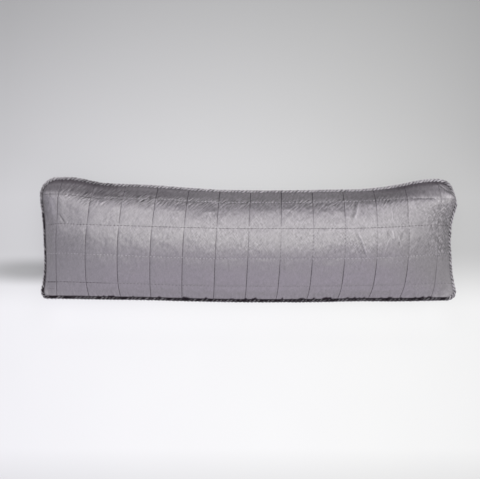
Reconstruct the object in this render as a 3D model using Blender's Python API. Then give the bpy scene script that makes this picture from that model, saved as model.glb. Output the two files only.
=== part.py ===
"""Body pillow: one filled cushion with a quilted face and a plain back, edged with a twisted cord.

The pillow lies on its back on the surface z = 0. +X runs along it, +Y across it, towards the long
edge that dips between its two raised corners, and +Z is up. All sizes are in metres. A place on
the cloth is given in quilting squares: "along" from the left end and "up" from the lower edge.
"""

import math
from typing import NamedTuple

import bmesh
import bpy
import numpy as np

# Quilting: lines one square apart, with narrower strips between the outer lines and the seam.
SQUARE = 0.1019
SQUARES_ALONG = 13
SQUARES_UP = 4
FIRST_LINE = 0.5
GROOVE_DEPTH = 0.0045
PUFF_HEIGHT = 0.0035

# Seam: the rim where face and back meet, at half the thickness or so.
HALF_LENGTH = 0.6700
SEAM_HEIGHT = 0.085
SEAM_WAVE = 0.002
SEAM_WAVE_ALONG = 1.1
SEAM_WAVE_UP = 0.9

# Crown: how far the filling lifts the face above the seam and pushes the back below it.
BACK_DEPTH = 0.106
END_SQUARES = 3.0
END_POWER = 0.6

# Drawn-in ends: how far each end pulls in at its middle, fading over this many squares.
LEFT_DRAW = 0.013
RIGHT_DRAW = 0.020
DRAW_SQUARES = 2.0

# Twisted cord: three strands, sewn on outside the seam.
CORD_RADIUS = 0.0065
CORD_GROOVE_RADIUS = 0.0046
CORD_LAY = 0.030
CORD_STRANDS = 3
CORD_CLEARANCE = 0.0004
CORD_PATH_STEPS = 720

# Mesh points in one square, and from a seam to its first line, both in squares.
SQUARE_POINTS = (0.0, 0.1, 0.3, 0.7, 0.9)
STRIP_POINTS = (0.0, 0.1, 0.25, 0.4)


class RowLine(NamedTuple):
    """A line along the pillow: y near the ends and at the middle, rise, and share of the draw."""

    up: float
    y_ends: float
    y_middle: float
    rise: float
    draw: float


class Station(NamedTuple):
    """A place along: its share of the sag, its cross line's lean, and its lower edge's drop."""

    along: float
    sag: float
    lean: float
    drop: float


class Corner(NamedTuple):
    """A corner of the outline: its side in x and y, and the radius that it is rounded to."""

    side_x: int
    side_y: int
    radius: float


ROW_LINES = (
    RowLine(0.0, -0.1784, -0.1916, 0.000, 0.30),
    RowLine(0.2, -0.1625, -0.1785, 0.021, 0.38),
    RowLine(0.5, -0.1379, -0.1541, 0.044, 0.60),
    RowLine(1.5, -0.0490, -0.0691, 0.092, 1.00),
    RowLine(2.0, -0.0020, -0.0214, 0.100, 1.00),
    RowLine(2.5, 0.0447, 0.0263, 0.092, 0.88),
    RowLine(3.5, 0.1442, 0.1129, 0.042, 0.00),
    RowLine(3.8, 0.1740, 0.1375, 0.020, 0.00),
    RowLine(4.0, 0.1917, 0.1506, 0.000, 0.00),
)
CROWN = max(line.rise for line in ROW_LINES)

STATIONS = (
    Station(0.0, 0.00, 0.003, 0.000),
    Station(0.8, 0.00, 0.003, 0.000),
    Station(1.5, 0.25, 0.003, -0.002),
    Station(2.5, 0.46, 0.006, -0.002),
    Station(4.0, 0.76, 0.016, -0.001),
    Station(5.6, 0.97, 0.016, 0.000),
    Station(7.0, 1.00, 0.016, 0.000),
    Station(8.8, 0.97, 0.017, 0.000),
    Station(10.4, 0.84, 0.017, 0.001),
    Station(11.3, 0.50, 0.020, 0.004),
    Station(12.2, 0.08, 0.024, 0.006),
    Station(13.0, 0.00, 0.026, 0.006),
)

CORNERS = (
    Corner(-1, -1, 0.014),
    Corner(1, -1, 0.019),
    Corner(-1, 1, 0.040),
    Corner(1, 1, 0.074),
)


def from_table(table, column, at):
    """A column of a table as a smooth curve through its rows, read at the places `at`."""
    places = np.array([row[0] for row in table])
    values = np.array([getattr(row, column) for row in table])
    slopes = np.gradient(values, places)
    index = np.clip(np.searchsorted(places, at, side="right") - 1, 0, len(places) - 2)
    step = places[index + 1] - places[index]
    share = (at - places[index]) / step
    rest = 1.0 - share
    return (
        values[index] * (1 + 2 * share) * rest**2
        + slopes[index] * step * share * rest**2
        + values[index + 1] * (3 - 2 * share) * share**2
        - slopes[index + 1] * step * rest * share**2
    )


def rounded_corners(x, y):
    """Plan points of the straight rectangle with each corner square drawn onto a quarter disc."""
    y_low, y_high = ROW_LINES[0].y_ends, ROW_LINES[-1].y_ends
    for corner in CORNERS:
        centre_x = corner.side_x * (HALF_LENGTH - corner.radius)
        centre_y = (y_high if corner.side_y > 0 else y_low) - corner.side_y * corner.radius
        across = np.clip((x - centre_x) * corner.side_x / corner.radius, 0, None)
        upward = np.clip((y - centre_y) * corner.side_y / corner.radius, 0, None)
        inside = (across > 0) & (upward > 0)
        disc_x = centre_x + corner.side_x * corner.radius * across * np.sqrt(1 - upward**2 / 2)
        disc_y = centre_y + corner.side_y * corner.radius * upward * np.sqrt(1 - across**2 / 2)
        x, y = np.where(inside, disc_x, x), np.where(inside, disc_y, y)
    return x, y


def plan_position(along, up):
    """Where a place on the cloth lies in plan: rounded corners, then sag, lean and drawn-in ends."""
    line_half = SQUARE * (SQUARES_ALONG / 2 - FIRST_LINE)
    x = np.interp(
        along,
        (0.0, FIRST_LINE, SQUARES_ALONG - FIRST_LINE, SQUARES_ALONG),
        (-HALF_LENGTH, -line_half, line_half, HALF_LENGTH),
    )
    y_ends = from_table(ROW_LINES, "y_ends", up)
    sag = from_table(STATIONS, "sag", along) * (y_ends - from_table(ROW_LINES, "y_middle", up))
    drop = from_table(STATIONS, "drop", along) * (1 - up / SQUARES_UP)
    x, y = rounded_corners(x, y_ends)
    near_left = np.clip(1 - along / DRAW_SQUARES, 0, 1) ** 2
    near_right = np.clip(1 - (SQUARES_ALONG - along) / DRAW_SQUARES, 0, 1) ** 2
    draw = from_table(ROW_LINES, "draw", up)
    x = x + draw * (LEFT_DRAW * near_left - RIGHT_DRAW * near_right)
    from_end = np.clip(np.minimum(along, SQUARES_ALONG - along) / FIRST_LINE, 0, 1)
    x = x + from_table(STATIONS, "lean", along) * (up / SQUARES_UP - 0.5) * from_end
    return x, y - sag - drop


def fullness(along, up):
    """How full the pillow is at a place, from 0 on the seam to 1 at the crown."""
    to_end = np.minimum(along, SQUARES_ALONG - along)
    end_rise = (1 - np.clip(1 - to_end / END_SQUARES, 0, 1) ** 2) ** END_POWER
    return np.clip(from_table(ROW_LINES, "rise", up) / CROWN, 0, None) * end_rise


def seam_z(along, up):
    """Height of the seam: level, with a slow wave round the pillow."""
    return SEAM_HEIGHT + SEAM_WAVE * np.sin(SEAM_WAVE_ALONG * along + SEAM_WAVE_UP * up)


def quilting(along, up):
    """Height of the quilting: a groove on every line and a puff in the middle of every square."""
    cell_x = (along - FIRST_LINE) % 1.0
    cell_y = (up - FIRST_LINE) % 1.0
    puff = np.sqrt(np.abs(np.sin(math.pi * cell_x) * np.sin(math.pi * cell_y)))
    on_seam = np.minimum(
        np.clip(np.minimum(along, SQUARES_ALONG - along) / FIRST_LINE, 0, 1),
        np.clip(np.minimum(up, SQUARES_UP - up) / FIRST_LINE, 0, 1),
    )
    return on_seam * (puff * (GROOVE_DEPTH + PUFF_HEIGHT) - GROOVE_DEPTH)


def face_z(along, up):
    """Height of the face: the seam's, the crown's and the quilting's together."""
    return seam_z(along, up) + CROWN * fullness(along, up) + quilting(along, up)


def back_z(along, up):
    """Height of the back: pushed down by the filling, and flat where it meets the surface."""
    return np.clip(seam_z(along, up) - BACK_DEPTH * fullness(along, up), 0, None)


def mesh_places(squares):
    """Places of the mesh's points over a number of squares, closer together beside each line."""
    first = list(STRIP_POINTS)
    lines = np.arange(FIRST_LINE, squares - FIRST_LINE)
    middle = [line + share for line in lines for share in SQUARE_POINTS]
    last = [squares - place for place in reversed(first)]
    return np.array(first + middle + [squares - FIRST_LINE] + last)


def make_object(name, points, faces, material):
    """An object with outward faces, made from points and faces."""
    mesh = bpy.data.meshes.new(name)
    mesh.from_pydata(points, [], faces)
    shape = bmesh.new()
    shape.from_mesh(mesh)
    bmesh.ops.recalc_face_normals(shape, faces=shape.faces)
    shape.to_mesh(mesh)
    shape.free()
    mesh.shade_smooth()
    mesh.materials.append(material)
    made = bpy.data.objects.new(name, mesh)
    bpy.context.scene.collection.objects.link(made)
    return made


def make_cushion():
    """The filled cushion: a face grid and a back grid that share their rim, the seam."""
    columns, rows = mesh_places(SQUARES_ALONG), mesh_places(SQUARES_UP)
    along, up = np.meshgrid(columns, rows, indexing="ij")
    x, y = plan_position(along, up)
    face = np.stack((x, y, face_z(along, up)), axis=-1).reshape(-1, 3)
    back = np.stack((x, y, back_z(along, up)), axis=-1).reshape(-1, 3)

    size = (len(columns), len(rows))
    index = np.arange(size[0] * size[1]).reshape(size)
    inner = np.zeros(size, dtype=bool)
    inner[1:-1, 1:-1] = True
    back_index = index.copy()
    back_index[inner] = len(face) + np.arange(inner.sum())
    points = np.concatenate((face, back[inner.ravel()]))

    faces = []
    for grid, turn in ((index, 1), (back_index, -1)):
        quads = np.stack((grid[:-1, :-1], grid[1:, :-1], grid[1:, 1:], grid[:-1, 1:]), axis=-1)
        for quad in quads.reshape(-1, 4)[:, ::turn].tolist():
            faces.append((quad[0], quad[1], quad[2]))
            faces.append((quad[0], quad[2], quad[3]))
    make_object("cushion", points.tolist(), faces, satin_material())


def outward_from(path):
    """Unit normals in plan of a closed path that runs anticlockwise from above."""
    tangent = np.roll(path, -1, axis=0) - np.roll(path, 1, axis=0)
    normal = np.stack((tangent[:, 1], -tangent[:, 0], np.zeros(len(path))), axis=-1)
    return normal / np.linalg.norm(normal, axis=1, keepdims=True)


def cord_centre_line():
    """The cord's closed centre line, the seam moved out by its radius, one point for each ring."""
    edge = np.linspace(0.0, 1.0, CORD_PATH_STEPS, endpoint=False)
    zero, one = np.zeros_like(edge), np.ones_like(edge)
    along = np.concatenate((edge, one, 1 - edge, zero)) * SQUARES_ALONG
    up = np.concatenate((zero, edge, one, 1 - edge)) * SQUARES_UP
    x, y = plan_position(along, up)
    seam = np.stack((x, y, seam_z(along, up)), axis=-1)
    path = seam + outward_from(seam) * (CORD_RADIUS + CORD_CLEARANCE)

    closed = np.concatenate((path, path[:1]))
    steps = np.linalg.norm(np.diff(closed, axis=0), axis=1)
    distance = np.concatenate(([0.0], np.cumsum(steps)))
    rings = 2 * CORD_STRANDS * round(distance[-1] / CORD_LAY)
    at = np.linspace(0.0, distance[-1], rings, endpoint=False)
    return np.stack([np.interp(at, distance, closed[:, axis]) for axis in range(3)], axis=-1)


def make_piping_cord():
    """The twisted cord: rings of crests and grooves that change places at every step round it."""
    centre = cord_centre_line()
    outward = outward_from(centre)
    rings, sides = len(centre), 2 * CORD_STRANDS
    ring, side = np.meshgrid(np.arange(rings), np.arange(sides), indexing="ij")
    radius = np.where((ring + side) % 2 == 0, CORD_RADIUS, CORD_GROOVE_RADIUS)[..., None]
    angle = (2 * math.pi * side / sides)[..., None]
    upward = np.array((0.0, 0.0, 1.0))
    shape = centre[:, None] + radius * (np.cos(angle) * outward[:, None] + np.sin(angle) * upward)

    index = (ring * sides + side).astype(int)
    after, beside = np.roll(index, -1, axis=0), np.roll(index, -1, axis=1)
    across = np.roll(after, -1, axis=1)
    lower = np.stack((index, across, beside), axis=-1).reshape(-1, 3)
    upper = np.stack((index, after, across), axis=-1).reshape(-1, 3)
    faces = np.concatenate((lower, upper)).tolist()
    make_object("piping_cord", shape.reshape(-1, 3).tolist(), faces, cord_material())


def fabric_material(name, colour, roughness):
    """A Principled material of one colour for a fabric."""
    material = bpy.data.materials.new(name)
    material.use_nodes = True
    shader = material.node_tree.nodes["Principled BSDF"]
    shader.inputs["Base Color"].default_value = (*colour, 1.0)
    shader.inputs["Roughness"].default_value = roughness
    shader.inputs["Metallic"].default_value = 0.0
    shader.inputs["Sheen Weight"].default_value = 0.3
    return material


def satin_material():
    return fabric_material("quilted_satin", (0.30, 0.28, 0.31), 0.38)


def cord_material():
    return fabric_material("twisted_cord", (0.20, 0.19, 0.21), 0.45)


def main():
    for old in list(bpy.data.objects):
        bpy.data.objects.remove(old, do_unlink=True)
    make_cushion()
    make_piping_cord()


main()
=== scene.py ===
"""Body pillow with a quilted satin face, a plain satin back and a twisted cord round its seam.

The pillow lies on its back: +X runs along it, +Y across it and +Z out of its face. Places on the
cloth are given in quilting squares, "along" from the left end and "up" from the lower edge.
Lengths are in metres where nothing else is said.
"""

import logging
import math
from dataclasses import dataclass, field, fields
from enum import Enum

import bpy
import numpy as np
from numpy.typing import NDArray
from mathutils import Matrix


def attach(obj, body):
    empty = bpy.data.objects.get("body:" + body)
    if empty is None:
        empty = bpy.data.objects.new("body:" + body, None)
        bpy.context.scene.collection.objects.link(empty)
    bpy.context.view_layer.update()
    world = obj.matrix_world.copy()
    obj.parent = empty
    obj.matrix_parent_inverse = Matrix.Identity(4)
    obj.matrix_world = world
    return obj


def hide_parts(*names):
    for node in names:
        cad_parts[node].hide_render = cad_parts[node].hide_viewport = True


Array = NDArray[np.float64]
Piece = bpy.types.Object

LOG = logging.getLogger("body_pillow")
UP = np.array((0.0, 0.0, 1.0))

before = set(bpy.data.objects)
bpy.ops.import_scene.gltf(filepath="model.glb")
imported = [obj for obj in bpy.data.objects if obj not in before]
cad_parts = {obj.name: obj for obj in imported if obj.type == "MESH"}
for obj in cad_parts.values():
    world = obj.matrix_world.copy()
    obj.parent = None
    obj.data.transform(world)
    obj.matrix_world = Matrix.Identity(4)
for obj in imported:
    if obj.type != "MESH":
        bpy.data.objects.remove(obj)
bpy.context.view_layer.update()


# ---------------------------------------------------------------- tables


@dataclass(frozen=True)
class RowLine:
    """A line along the pillow.

    Args:
        up: place of the line, in squares from the lower seam.
        y_ends: y near the two ends.
        y_middle: y at the middle.
        rise: height above the seam.
        draw: share that the line takes of the drawn-in ends.
    """

    up: float
    y_ends: float
    y_middle: float
    rise: float
    draw: float


@dataclass(frozen=True)
class Station:
    """A place along the pillow.

    Args:
        along: place, in squares from the left end.
        sag: share that it takes of the sag of the long edges.
        lean: how far its cross line leans between the two seams.
        drop: how far its lower edge drops.
    """

    along: float
    sag: float
    lean: float
    drop: float


@dataclass(frozen=True)
class LineShift:
    """How far the lines that cross the pillow stray from even places.

    Args:
        along: place, in squares from the left end.
        shift: how far the line lies to the right.
        lean: how far its top lies to the right of its foot.
        foot: how far the foot curls to the right.
    """

    along: float
    shift: float
    lean: float
    foot: float


@dataclass(frozen=True)
class Sides:
    """Values at the left and the right end of the pillow, or over its two halves.

    Args:
        up: place, in squares from the lower seam.
        left: value at the left.
        right: value at the right.
    """

    up: float
    left: float
    right: float


@dataclass(frozen=True)
class EdgeShift:
    """How far the two long seams move off their smooth sag.

    Args:
        along: place, in squares from the left end.
        lower: how far the lower seam moves up.
        upper: how far the upper seam moves up.
        line: how far the upper quilting line moves up.
    """

    along: float
    lower: float
    upper: float
    line: float


ROW_LINES = (
    RowLine(0.0, -0.1784, -0.1916, 0.000, 0.30),
    RowLine(0.2, -0.1625, -0.1785, 0.021, 0.38),
    RowLine(0.5, -0.1379, -0.1541, 0.044, 0.60),
    RowLine(1.5, -0.0490, -0.0691, 0.092, 1.00),
    RowLine(2.0, -0.0020, -0.0214, 0.100, 1.00),
    RowLine(2.5, 0.0447, 0.0263, 0.092, 0.88),
    RowLine(3.5, 0.1442, 0.1129, 0.042, 0.00),
    RowLine(3.8, 0.1740, 0.1375, 0.020, 0.00),
    RowLine(4.0, 0.1917, 0.1506, 0.000, 0.00),
)

STATIONS = (
    Station(0.0, 0.00, 0.003, 0.000),
    Station(0.8, 0.00, 0.003, 0.000),
    Station(1.5, 0.25, 0.003, -0.002),
    Station(2.5, 0.46, 0.006, -0.002),
    Station(4.0, 0.76, 0.016, -0.001),
    Station(5.6, 0.97, 0.016, 0.000),
    Station(7.0, 1.00, 0.016, 0.000),
    Station(8.8, 0.97, 0.017, 0.000),
    Station(10.4, 0.84, 0.017, 0.001),
    Station(11.3, 0.50, 0.020, 0.004),
    Station(12.2, 0.08, 0.024, 0.006),
    Station(13.0, 0.00, 0.026, 0.006),
)

LINE_SHIFTS = (
    LineShift(0.0, -0.0066, 0.0060, 0.0),
    LineShift(0.5, -0.0060, 0.0100, 0.0012),
    LineShift(1.5, -0.0044, 0.0127, 0.0052),
    LineShift(2.5, -0.0033, 0.0099, 0.0048),
    LineShift(3.5, -0.0007, 0.0082, 0.0010),
    LineShift(4.5, -0.0006, 0.0041, 0.0),
    LineShift(5.5, 0.0, 0.0030, -0.0012),
    LineShift(7.5, 0.0, -0.0006, -0.0030),
    LineShift(8.5, -0.0004, -0.0016, -0.0050),
    LineShift(9.5, -0.0010, -0.0030, -0.0062),
    LineShift(10.5, -0.0016, -0.0034, -0.0080),
    LineShift(11.5, -0.0014, -0.0054, -0.0080),
    LineShift(12.5, 0.0026, -0.0020, -0.0070),
    LineShift(13.0, 0.0026, -0.0020, 0.0),
)

# How far the seam strays to the right at the two ends.
END_SHIFTS = (
    Sides(0.0, 0.0020, 0.0025),
    Sides(0.5, 0.0040, 0.0015),
    Sides(1.0, 0.0045, 0.0012),
    Sides(1.4, 0.0030, 0.0030),
    Sides(1.9, 0.0, 0.0022),
    Sides(2.5, -0.0022, 0.0040),
    Sides(3.1, -0.0020, 0.0058),
    Sides(3.5, -0.0030, 0.0082),
    Sides(4.0, -0.0010, 0.0090),
)

EDGE_SHIFTS = (
    EdgeShift(0.0, -0.0046, 0.0, -0.0010),
    EdgeShift(1.0, -0.0046, 0.0004, -0.0085),
    EdgeShift(1.8, -0.0044, -0.0042, -0.0080),
    EdgeShift(2.4, -0.0036, -0.0034, -0.0050),
    EdgeShift(3.2, -0.0018, 0.0, -0.0020),
    EdgeShift(5.0, -0.0012, -0.0006, 0.0015),
    EdgeShift(7.0, -0.0022, -0.0012, 0.0005),
    EdgeShift(9.0, -0.0018, -0.0010, 0.0030),
    EdgeShift(10.2, 0.0002, -0.0014, 0.0010),
    EdgeShift(11.2, -0.0014, -0.0030, -0.0040),
    EdgeShift(12.0, -0.0038, -0.0020, -0.0130),
    EdgeShift(12.5, -0.0038, -0.0020, -0.0190),
    EdgeShift(13.0, -0.0030, 0.0060, -0.0160),
)

# Radius of each rounded corner in metres, by its side in x and in y.
CORNERS = {(-1, -1): 0.014, (1, -1): 0.019, (-1, 1): 0.040, (1, 1): 0.074}


def curve(table: tuple, column: str, at: Array) -> Array:
    """Reads a column of a table as a smooth curve: cubics between rows, with mean slopes.

    Args:
        table: rows whose first field is their place.
        column: name of the field to read.
        at: places to read it at.

    Returns:
        The column's value at each place.
    """
    places = np.array([getattr(row, fields(row)[0].name) for row in table])
    values = np.array([getattr(row, column) for row in table])
    slopes = np.gradient(values, places)
    index = np.clip(np.searchsorted(places, at, side="right") - 1, 0, len(places) - 2)
    step = places[index + 1] - places[index]
    share = (at - places[index]) / step
    rest = 1.0 - share
    return (
        values[index] * (1 + 2 * share) * rest**2
        + slopes[index] * step * share * rest**2
        + values[index + 1] * (3 - 2 * share) * share**2
        - slopes[index + 1] * step * rest * share**2
    )


def soft_noise(x: Array, y: Array, cell: float, seed: int) -> Array:
    """Smooth noise: seeded values on a square lattice, blended by 6t^5 - 15t^4 + 10t^3.

    Args:
        x: first coordinate.
        y: second coordinate.
        cell: side of a lattice square.
        seed: seed of the lattice's values.

    Returns:
        A value from -1 to 1.
    """
    across, upward = (x - x.min()) / cell, (y - y.min()) / cell
    column, row = np.floor(across).astype(int), np.floor(upward).astype(int)
    lattice = np.random.default_rng(seed).uniform(-1, 1, (column.max() + 2, row.max() + 2))
    fade_x, fade_y = across - column, upward - row
    fade_x = fade_x**3 * (fade_x * (6 * fade_x - 15) + 10)
    fade_y = fade_y**3 * (fade_y * (6 * fade_y - 15) + 10)
    low = lattice[column, row] * (1 - fade_x) + lattice[column + 1, row] * fade_x
    high = lattice[column, row + 1] * (1 - fade_x) + lattice[column + 1, row + 1] * fade_x
    return low * (1 - fade_y) + high * fade_y


def ramp(low: float, high: float, at: Array) -> Array:
    """Smooth step from 0 at low to 1 at high: 3t^2 - 2t^3 of the share of the way."""
    share = np.clip((at - low) / (high - low), 0.0, 1.0)
    return share * share * (3 - 2 * share)


@dataclass(frozen=True)
class SoftPatch:
    """A patch over two coordinates, whose edges are smooth steps.

    Args:
        strength: value of the patch inside its edges.
        x_edges: for each edge that x crosses, where it starts and where it is complete.
        y_edges: for each edge that y crosses, the same.
    """

    strength: float
    x_edges: tuple = ()
    y_edges: tuple = ()

    def value(self, x: Array, y: Array) -> Array:
        """The patch's value at places x and y: its strength times its edges' steps."""
        edges = [(edge, x) for edge in self.x_edges] + [(edge, y) for edge in self.y_edges]
        return math.prod((ramp(*edge, at) for edge, at in edges), start=self.strength)


@dataclass(frozen=True)
class NoiseWaves:
    """Waves of smooth noise, whose axes may be turned and stretched.

    Args:
        first: parts of x and y in the noise's first coordinate.
        second: parts of x and y in its second coordinate.
        cell: side of the noise's cells.
        seed: seed of the noise.
        height: height of the waves.
    """

    first: tuple
    second: tuple
    cell: float
    seed: int
    height: float

    def lift(self, x: Array, y: Array) -> Array:
        """Height of the waves at places x and y on the cloth: the height times the noise."""
        axes = (part[0] * x + part[1] * y for part in (self.first, self.second))
        return self.height * soft_noise(*axes, self.cell, self.seed)


# ---------------------------------------------------------------- form


@dataclass(frozen=True)
class PillowForm:
    """The filled pillow's form, as functions of the two places on its cloth.

    Args:
        square: side of a quilting square.
        squares_along: squares from end to end, with the end strips.
        squares_up: squares from seam to seam, with the edge strips.
        first_line: place of the first line, in squares from the seam.
        half_length: half the seam's length between its ends.
        seam_height: height of the seam.
        seam_wave: height of the slow wave along the seam.
        wave_along: how fast the wave runs along the pillow, in radians for each square.
        wave_up: how fast it runs across the pillow, the same.
        back_depth: how far the filling would push the back down.
        end_squares: squares from an end in which the crown rises.
        end_power: power of that rise.
        left_draw: how far the left end is drawn in.
        right_draw: how far the right end is drawn in.
        draw_squares: squares from an end in which the draw fades.
        foot_squares: squares from the lower edge in which the lines' feet curl.
    """

    square: float = 0.1019
    squares_along: int = 13
    squares_up: int = 4
    first_line: float = 0.5
    half_length: float = 0.6700
    seam_height: float = 0.085
    seam_wave: float = 0.002
    wave_along: float = 1.1
    wave_up: float = 0.9
    back_depth: float = 0.106
    end_squares: float = 3.0
    end_power: float = 0.6
    left_draw: float = 0.013
    right_draw: float = 0.020
    draw_squares: float = 1.0
    foot_squares: float = 0.6

    def rounded(self, x: Array, y: Array) -> tuple[Array, Array]:
        """Draws each corner square onto a quarter disc: a' = a sqrt(1 - b^2/2), and b' the same.

        Args:
            x: x of the straight rectangle's points.
            y: y of the same points.

        Returns:
            x and y with the corners rounded.
        """
        y_low, y_high = ROW_LINES[0].y_ends, ROW_LINES[-1].y_ends
        for (side_x, side_y), radius in CORNERS.items():
            centre_x = side_x * (self.half_length - radius)
            centre_y = (y_high if side_y > 0 else y_low) - side_y * radius
            across = np.clip((x - centre_x) * side_x / radius, 0, None)
            upward = np.clip((y - centre_y) * side_y / radius, 0, None)
            inside = (across > 0) & (upward > 0)
            disc_x = centre_x + side_x * radius * across * np.sqrt(1 - upward**2 / 2)
            disc_y = centre_y + side_y * radius * upward * np.sqrt(1 - across**2 / 2)
            x, y = np.where(inside, disc_x, x), np.where(inside, disc_y, y)
        return x, y

    def plan(self, along: Array, up: Array) -> tuple[Array, Array]:
        """Plan place of the cloth: rounded rectangle, then its draw, lean, curl, sag and drop.

        Args:
            along: squares along.
            up: squares up.

        Returns:
            x and y.
        """
        line_half = self.square * (self.squares_along / 2 - self.first_line)
        x = np.interp(
            along,
            (0.0, self.first_line, self.squares_along - self.first_line, self.squares_along),
            (-self.half_length, -line_half, line_half, self.half_length),
        )
        y_ends = curve(ROW_LINES, "y_ends", up)
        sag = curve(STATIONS, "sag", along)
        sag = sag * (y_ends - curve(ROW_LINES, "y_middle", up))
        drop = curve(STATIONS, "drop", along) * (1 - up / self.squares_up)
        x, y = self.rounded(x, y_ends)
        to_right = self.squares_along - along
        near_left = np.clip(1 - along / self.draw_squares, 0, 1) ** 2
        near_right = np.clip(1 - to_right / self.draw_squares, 0, 1) ** 2
        draw = curve(ROW_LINES, "draw", up)
        x = x + draw * (self.left_draw * near_left - self.right_draw * near_right)
        x = x + curve(END_SHIFTS, "left", up) * near_left
        x = x + curve(END_SHIFTS, "right", up) * near_right
        up_share = up / self.squares_up
        last_line = self.squares_up - self.first_line
        near_line = ramp(last_line - 1, last_line, up) * ramp(self.squares_up, last_line, up)
        shares = {"lower": (1 - up_share) ** 6, "upper": up_share**6, "line": near_line}
        for column, share in shares.items():
            y = y + curve(EDGE_SHIFTS, column, along) * share
        from_end = np.clip(np.minimum(along, to_right) / self.first_line, 0, 1)
        lean = curve(STATIONS, "lean", along)
        lean = lean + curve(LINE_SHIFTS, "lean", along)
        shift = curve(LINE_SHIFTS, "shift", along)
        foot = np.clip(1 - up / self.foot_squares, 0, 1) ** 2
        shift = shift + curve(LINE_SHIFTS, "foot", along) * foot
        x = x + (lean * (up / self.squares_up - 0.5) + shift) * from_end
        return x, y - sag - drop

    def fullness(self, along: Array, up: Array) -> Array:
        """Share of the crown: the row's rise times (1 - (1 - distance to the end)^2)^power.

        Args:
            along: squares along.
            up: squares up.

        Returns:
            0 on the seam to 1 at the crown.
        """
        to_end = np.minimum(along, self.squares_along - along)
        end_rise = (1 - np.clip(1 - to_end / self.end_squares, 0, 1) ** 2) ** self.end_power
        rise = curve(ROW_LINES, "rise", up)
        return np.clip(rise / self.crown(), 0, None) * end_rise

    def crown(self) -> float:
        """Height of the crown above the seam, in metres."""
        return max(line.rise for line in ROW_LINES)

    def seam_z(self, along: Array, up: Array) -> Array:
        """Height of the seam: level, with one slow sine wave."""
        wave = np.sin(self.wave_along * along + self.wave_up * up)
        return self.seam_height + self.seam_wave * wave

    def face(self, along: Array, up: Array) -> Array:
        """Points of the smooth face: the plan place, at the seam's height plus the crown's."""
        z = self.seam_z(along, up) + self.crown() * self.fullness(along, up)
        return np.stack((*self.plan(along, up), z), axis=-1)

    def back(self, along: Array, up: Array) -> Array:
        """Points of the smooth back: pushed down by the filling, and flat on the surface."""
        z = self.seam_z(along, up) - self.back_depth * self.fullness(along, up)
        return np.stack((*self.plan(along, up), np.clip(z, 0, None)), axis=-1)

    def to_line(self, place: Array) -> Array:
        """Signed distance from the nearest quilting line, in squares from -0.5 to 0.5."""
        return (place - self.first_line + 0.5) % 1.0 - 0.5

    def from_seam(self, along: Array, up: Array) -> Array:
        """Distance from the nearest seam, in squares."""
        across = np.minimum(along, self.squares_along - along)
        return np.minimum(across, np.minimum(up, self.squares_up - up))


def unit(vectors: Array) -> Array:
    """Vectors of length 1 that point the same way, with their parts on the last axis."""
    length = np.linalg.norm(vectors, axis=-1, keepdims=True)
    return vectors / np.maximum(length, 1e-12)


def grid_normals(points: Array) -> Array:
    """Unit normals of a grid of points: the cross product of its two directions' differences."""
    return unit(np.cross(np.gradient(points, axis=0), np.gradient(points, axis=1)))


def grid_quads(index: Array) -> list:
    """Faces of a grid of point numbers, as quads that point up."""
    quads = np.stack((index[:-1, :-1], index[1:, :-1], index[1:, 1:], index[:-1, 1:]), -1)
    return quads.reshape(-1, 4).tolist()


def travelled(path: Array) -> Array:
    """Distance along a path to each of its points."""
    steps = np.linalg.norm(np.diff(path, axis=0), axis=1)
    return np.concatenate(([0.0], np.cumsum(steps)))


def read_path(values: Array, distance: Array, at: Array) -> Array:
    """Reads three components that are known at distances along a path, at other distances."""
    return np.stack([np.interp(at, distance, values[:, axis]) for axis in range(3)], axis=-1)


def read_cubic(values: Array, at: Array) -> Array:
    """Reads the first axis of a grid at fractional places, by the cubic through four neighbours.

    Args:
        values: the grid.
        at: the fractional places.

    Returns:
        The grid with its first axis read there.
    """
    base = np.clip(np.floor(at).astype(int), 0, len(values) - 2)
    t = (at - base).reshape((-1,) + (1,) * (values.ndim - 1))
    before, after = np.clip(base - 1, 0, None), np.clip(base + 2, None, len(values) - 1)
    p0, p1, p2, p3 = values[before], values[base], values[base + 1], values[after]
    bend = 2 * p0 - 5 * p1 + 4 * p2 - p3
    return p1 + 0.5 * t * (p2 - p0 + t * (bend + t * (3 * (p1 - p2) + p3 - p0)))


def resampled(grid: Array, rows: Array, columns: Array) -> Array:
    """A grid with a last axis of components, read at fractional rows and columns."""
    return read_cubic(read_cubic(grid, rows).swapaxes(0, 1), columns).swapaxes(0, 1)


# ---------------------------------------------------------------- mesh helpers


def link_object(name: str, data: bpy.types.ID) -> Piece:
    """Makes an object and links it to the scene.

    Args:
        name: name of the object.
        data: the mesh, light or camera that it holds.

    Returns:
        The new object.
    """
    made = bpy.data.objects.new(name, data)
    bpy.context.scene.collection.objects.link(made)
    return made


def link_mesh(name: str, points: Array, faces: list, smooth: bool = True) -> Piece:
    """Makes a mesh object at the origin from points and faces.

    Args:
        name: name of the object and its mesh.
        points: the points, one row each.
        faces: the faces, as runs of point numbers.
        smooth: whether the faces are shaded smooth.

    Returns:
        The new object.
    """
    mesh = bpy.data.meshes.new(name)
    mesh.from_pydata(points.tolist(), [], faces)
    mesh.validate()
    mesh.polygons.foreach_set("use_smooth", np.full(len(mesh.polygons), smooth))
    mesh.update()
    return link_object(name, mesh)


def store(piece: Piece, name: str, values: Array, rest: float = 0.0) -> None:
    """Stores one number or one vector for each point of a piece, for its material to read.

    Args:
        piece: the mesh object.
        name: name of the attribute.
        values: one value or vector for each of the first points.
        rest: the value of the points after them.
    """
    kind, key = ("FLOAT", "value") if values.ndim == 1 else ("FLOAT_VECTOR", "vector")
    full = np.full((len(piece.data.vertices), *values.shape[1:]), rest, dtype=np.float32)
    full[: len(values)] = values
    piece.data.attributes.new(name, kind, "POINT").data.foreach_set(key, full.ravel())


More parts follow.
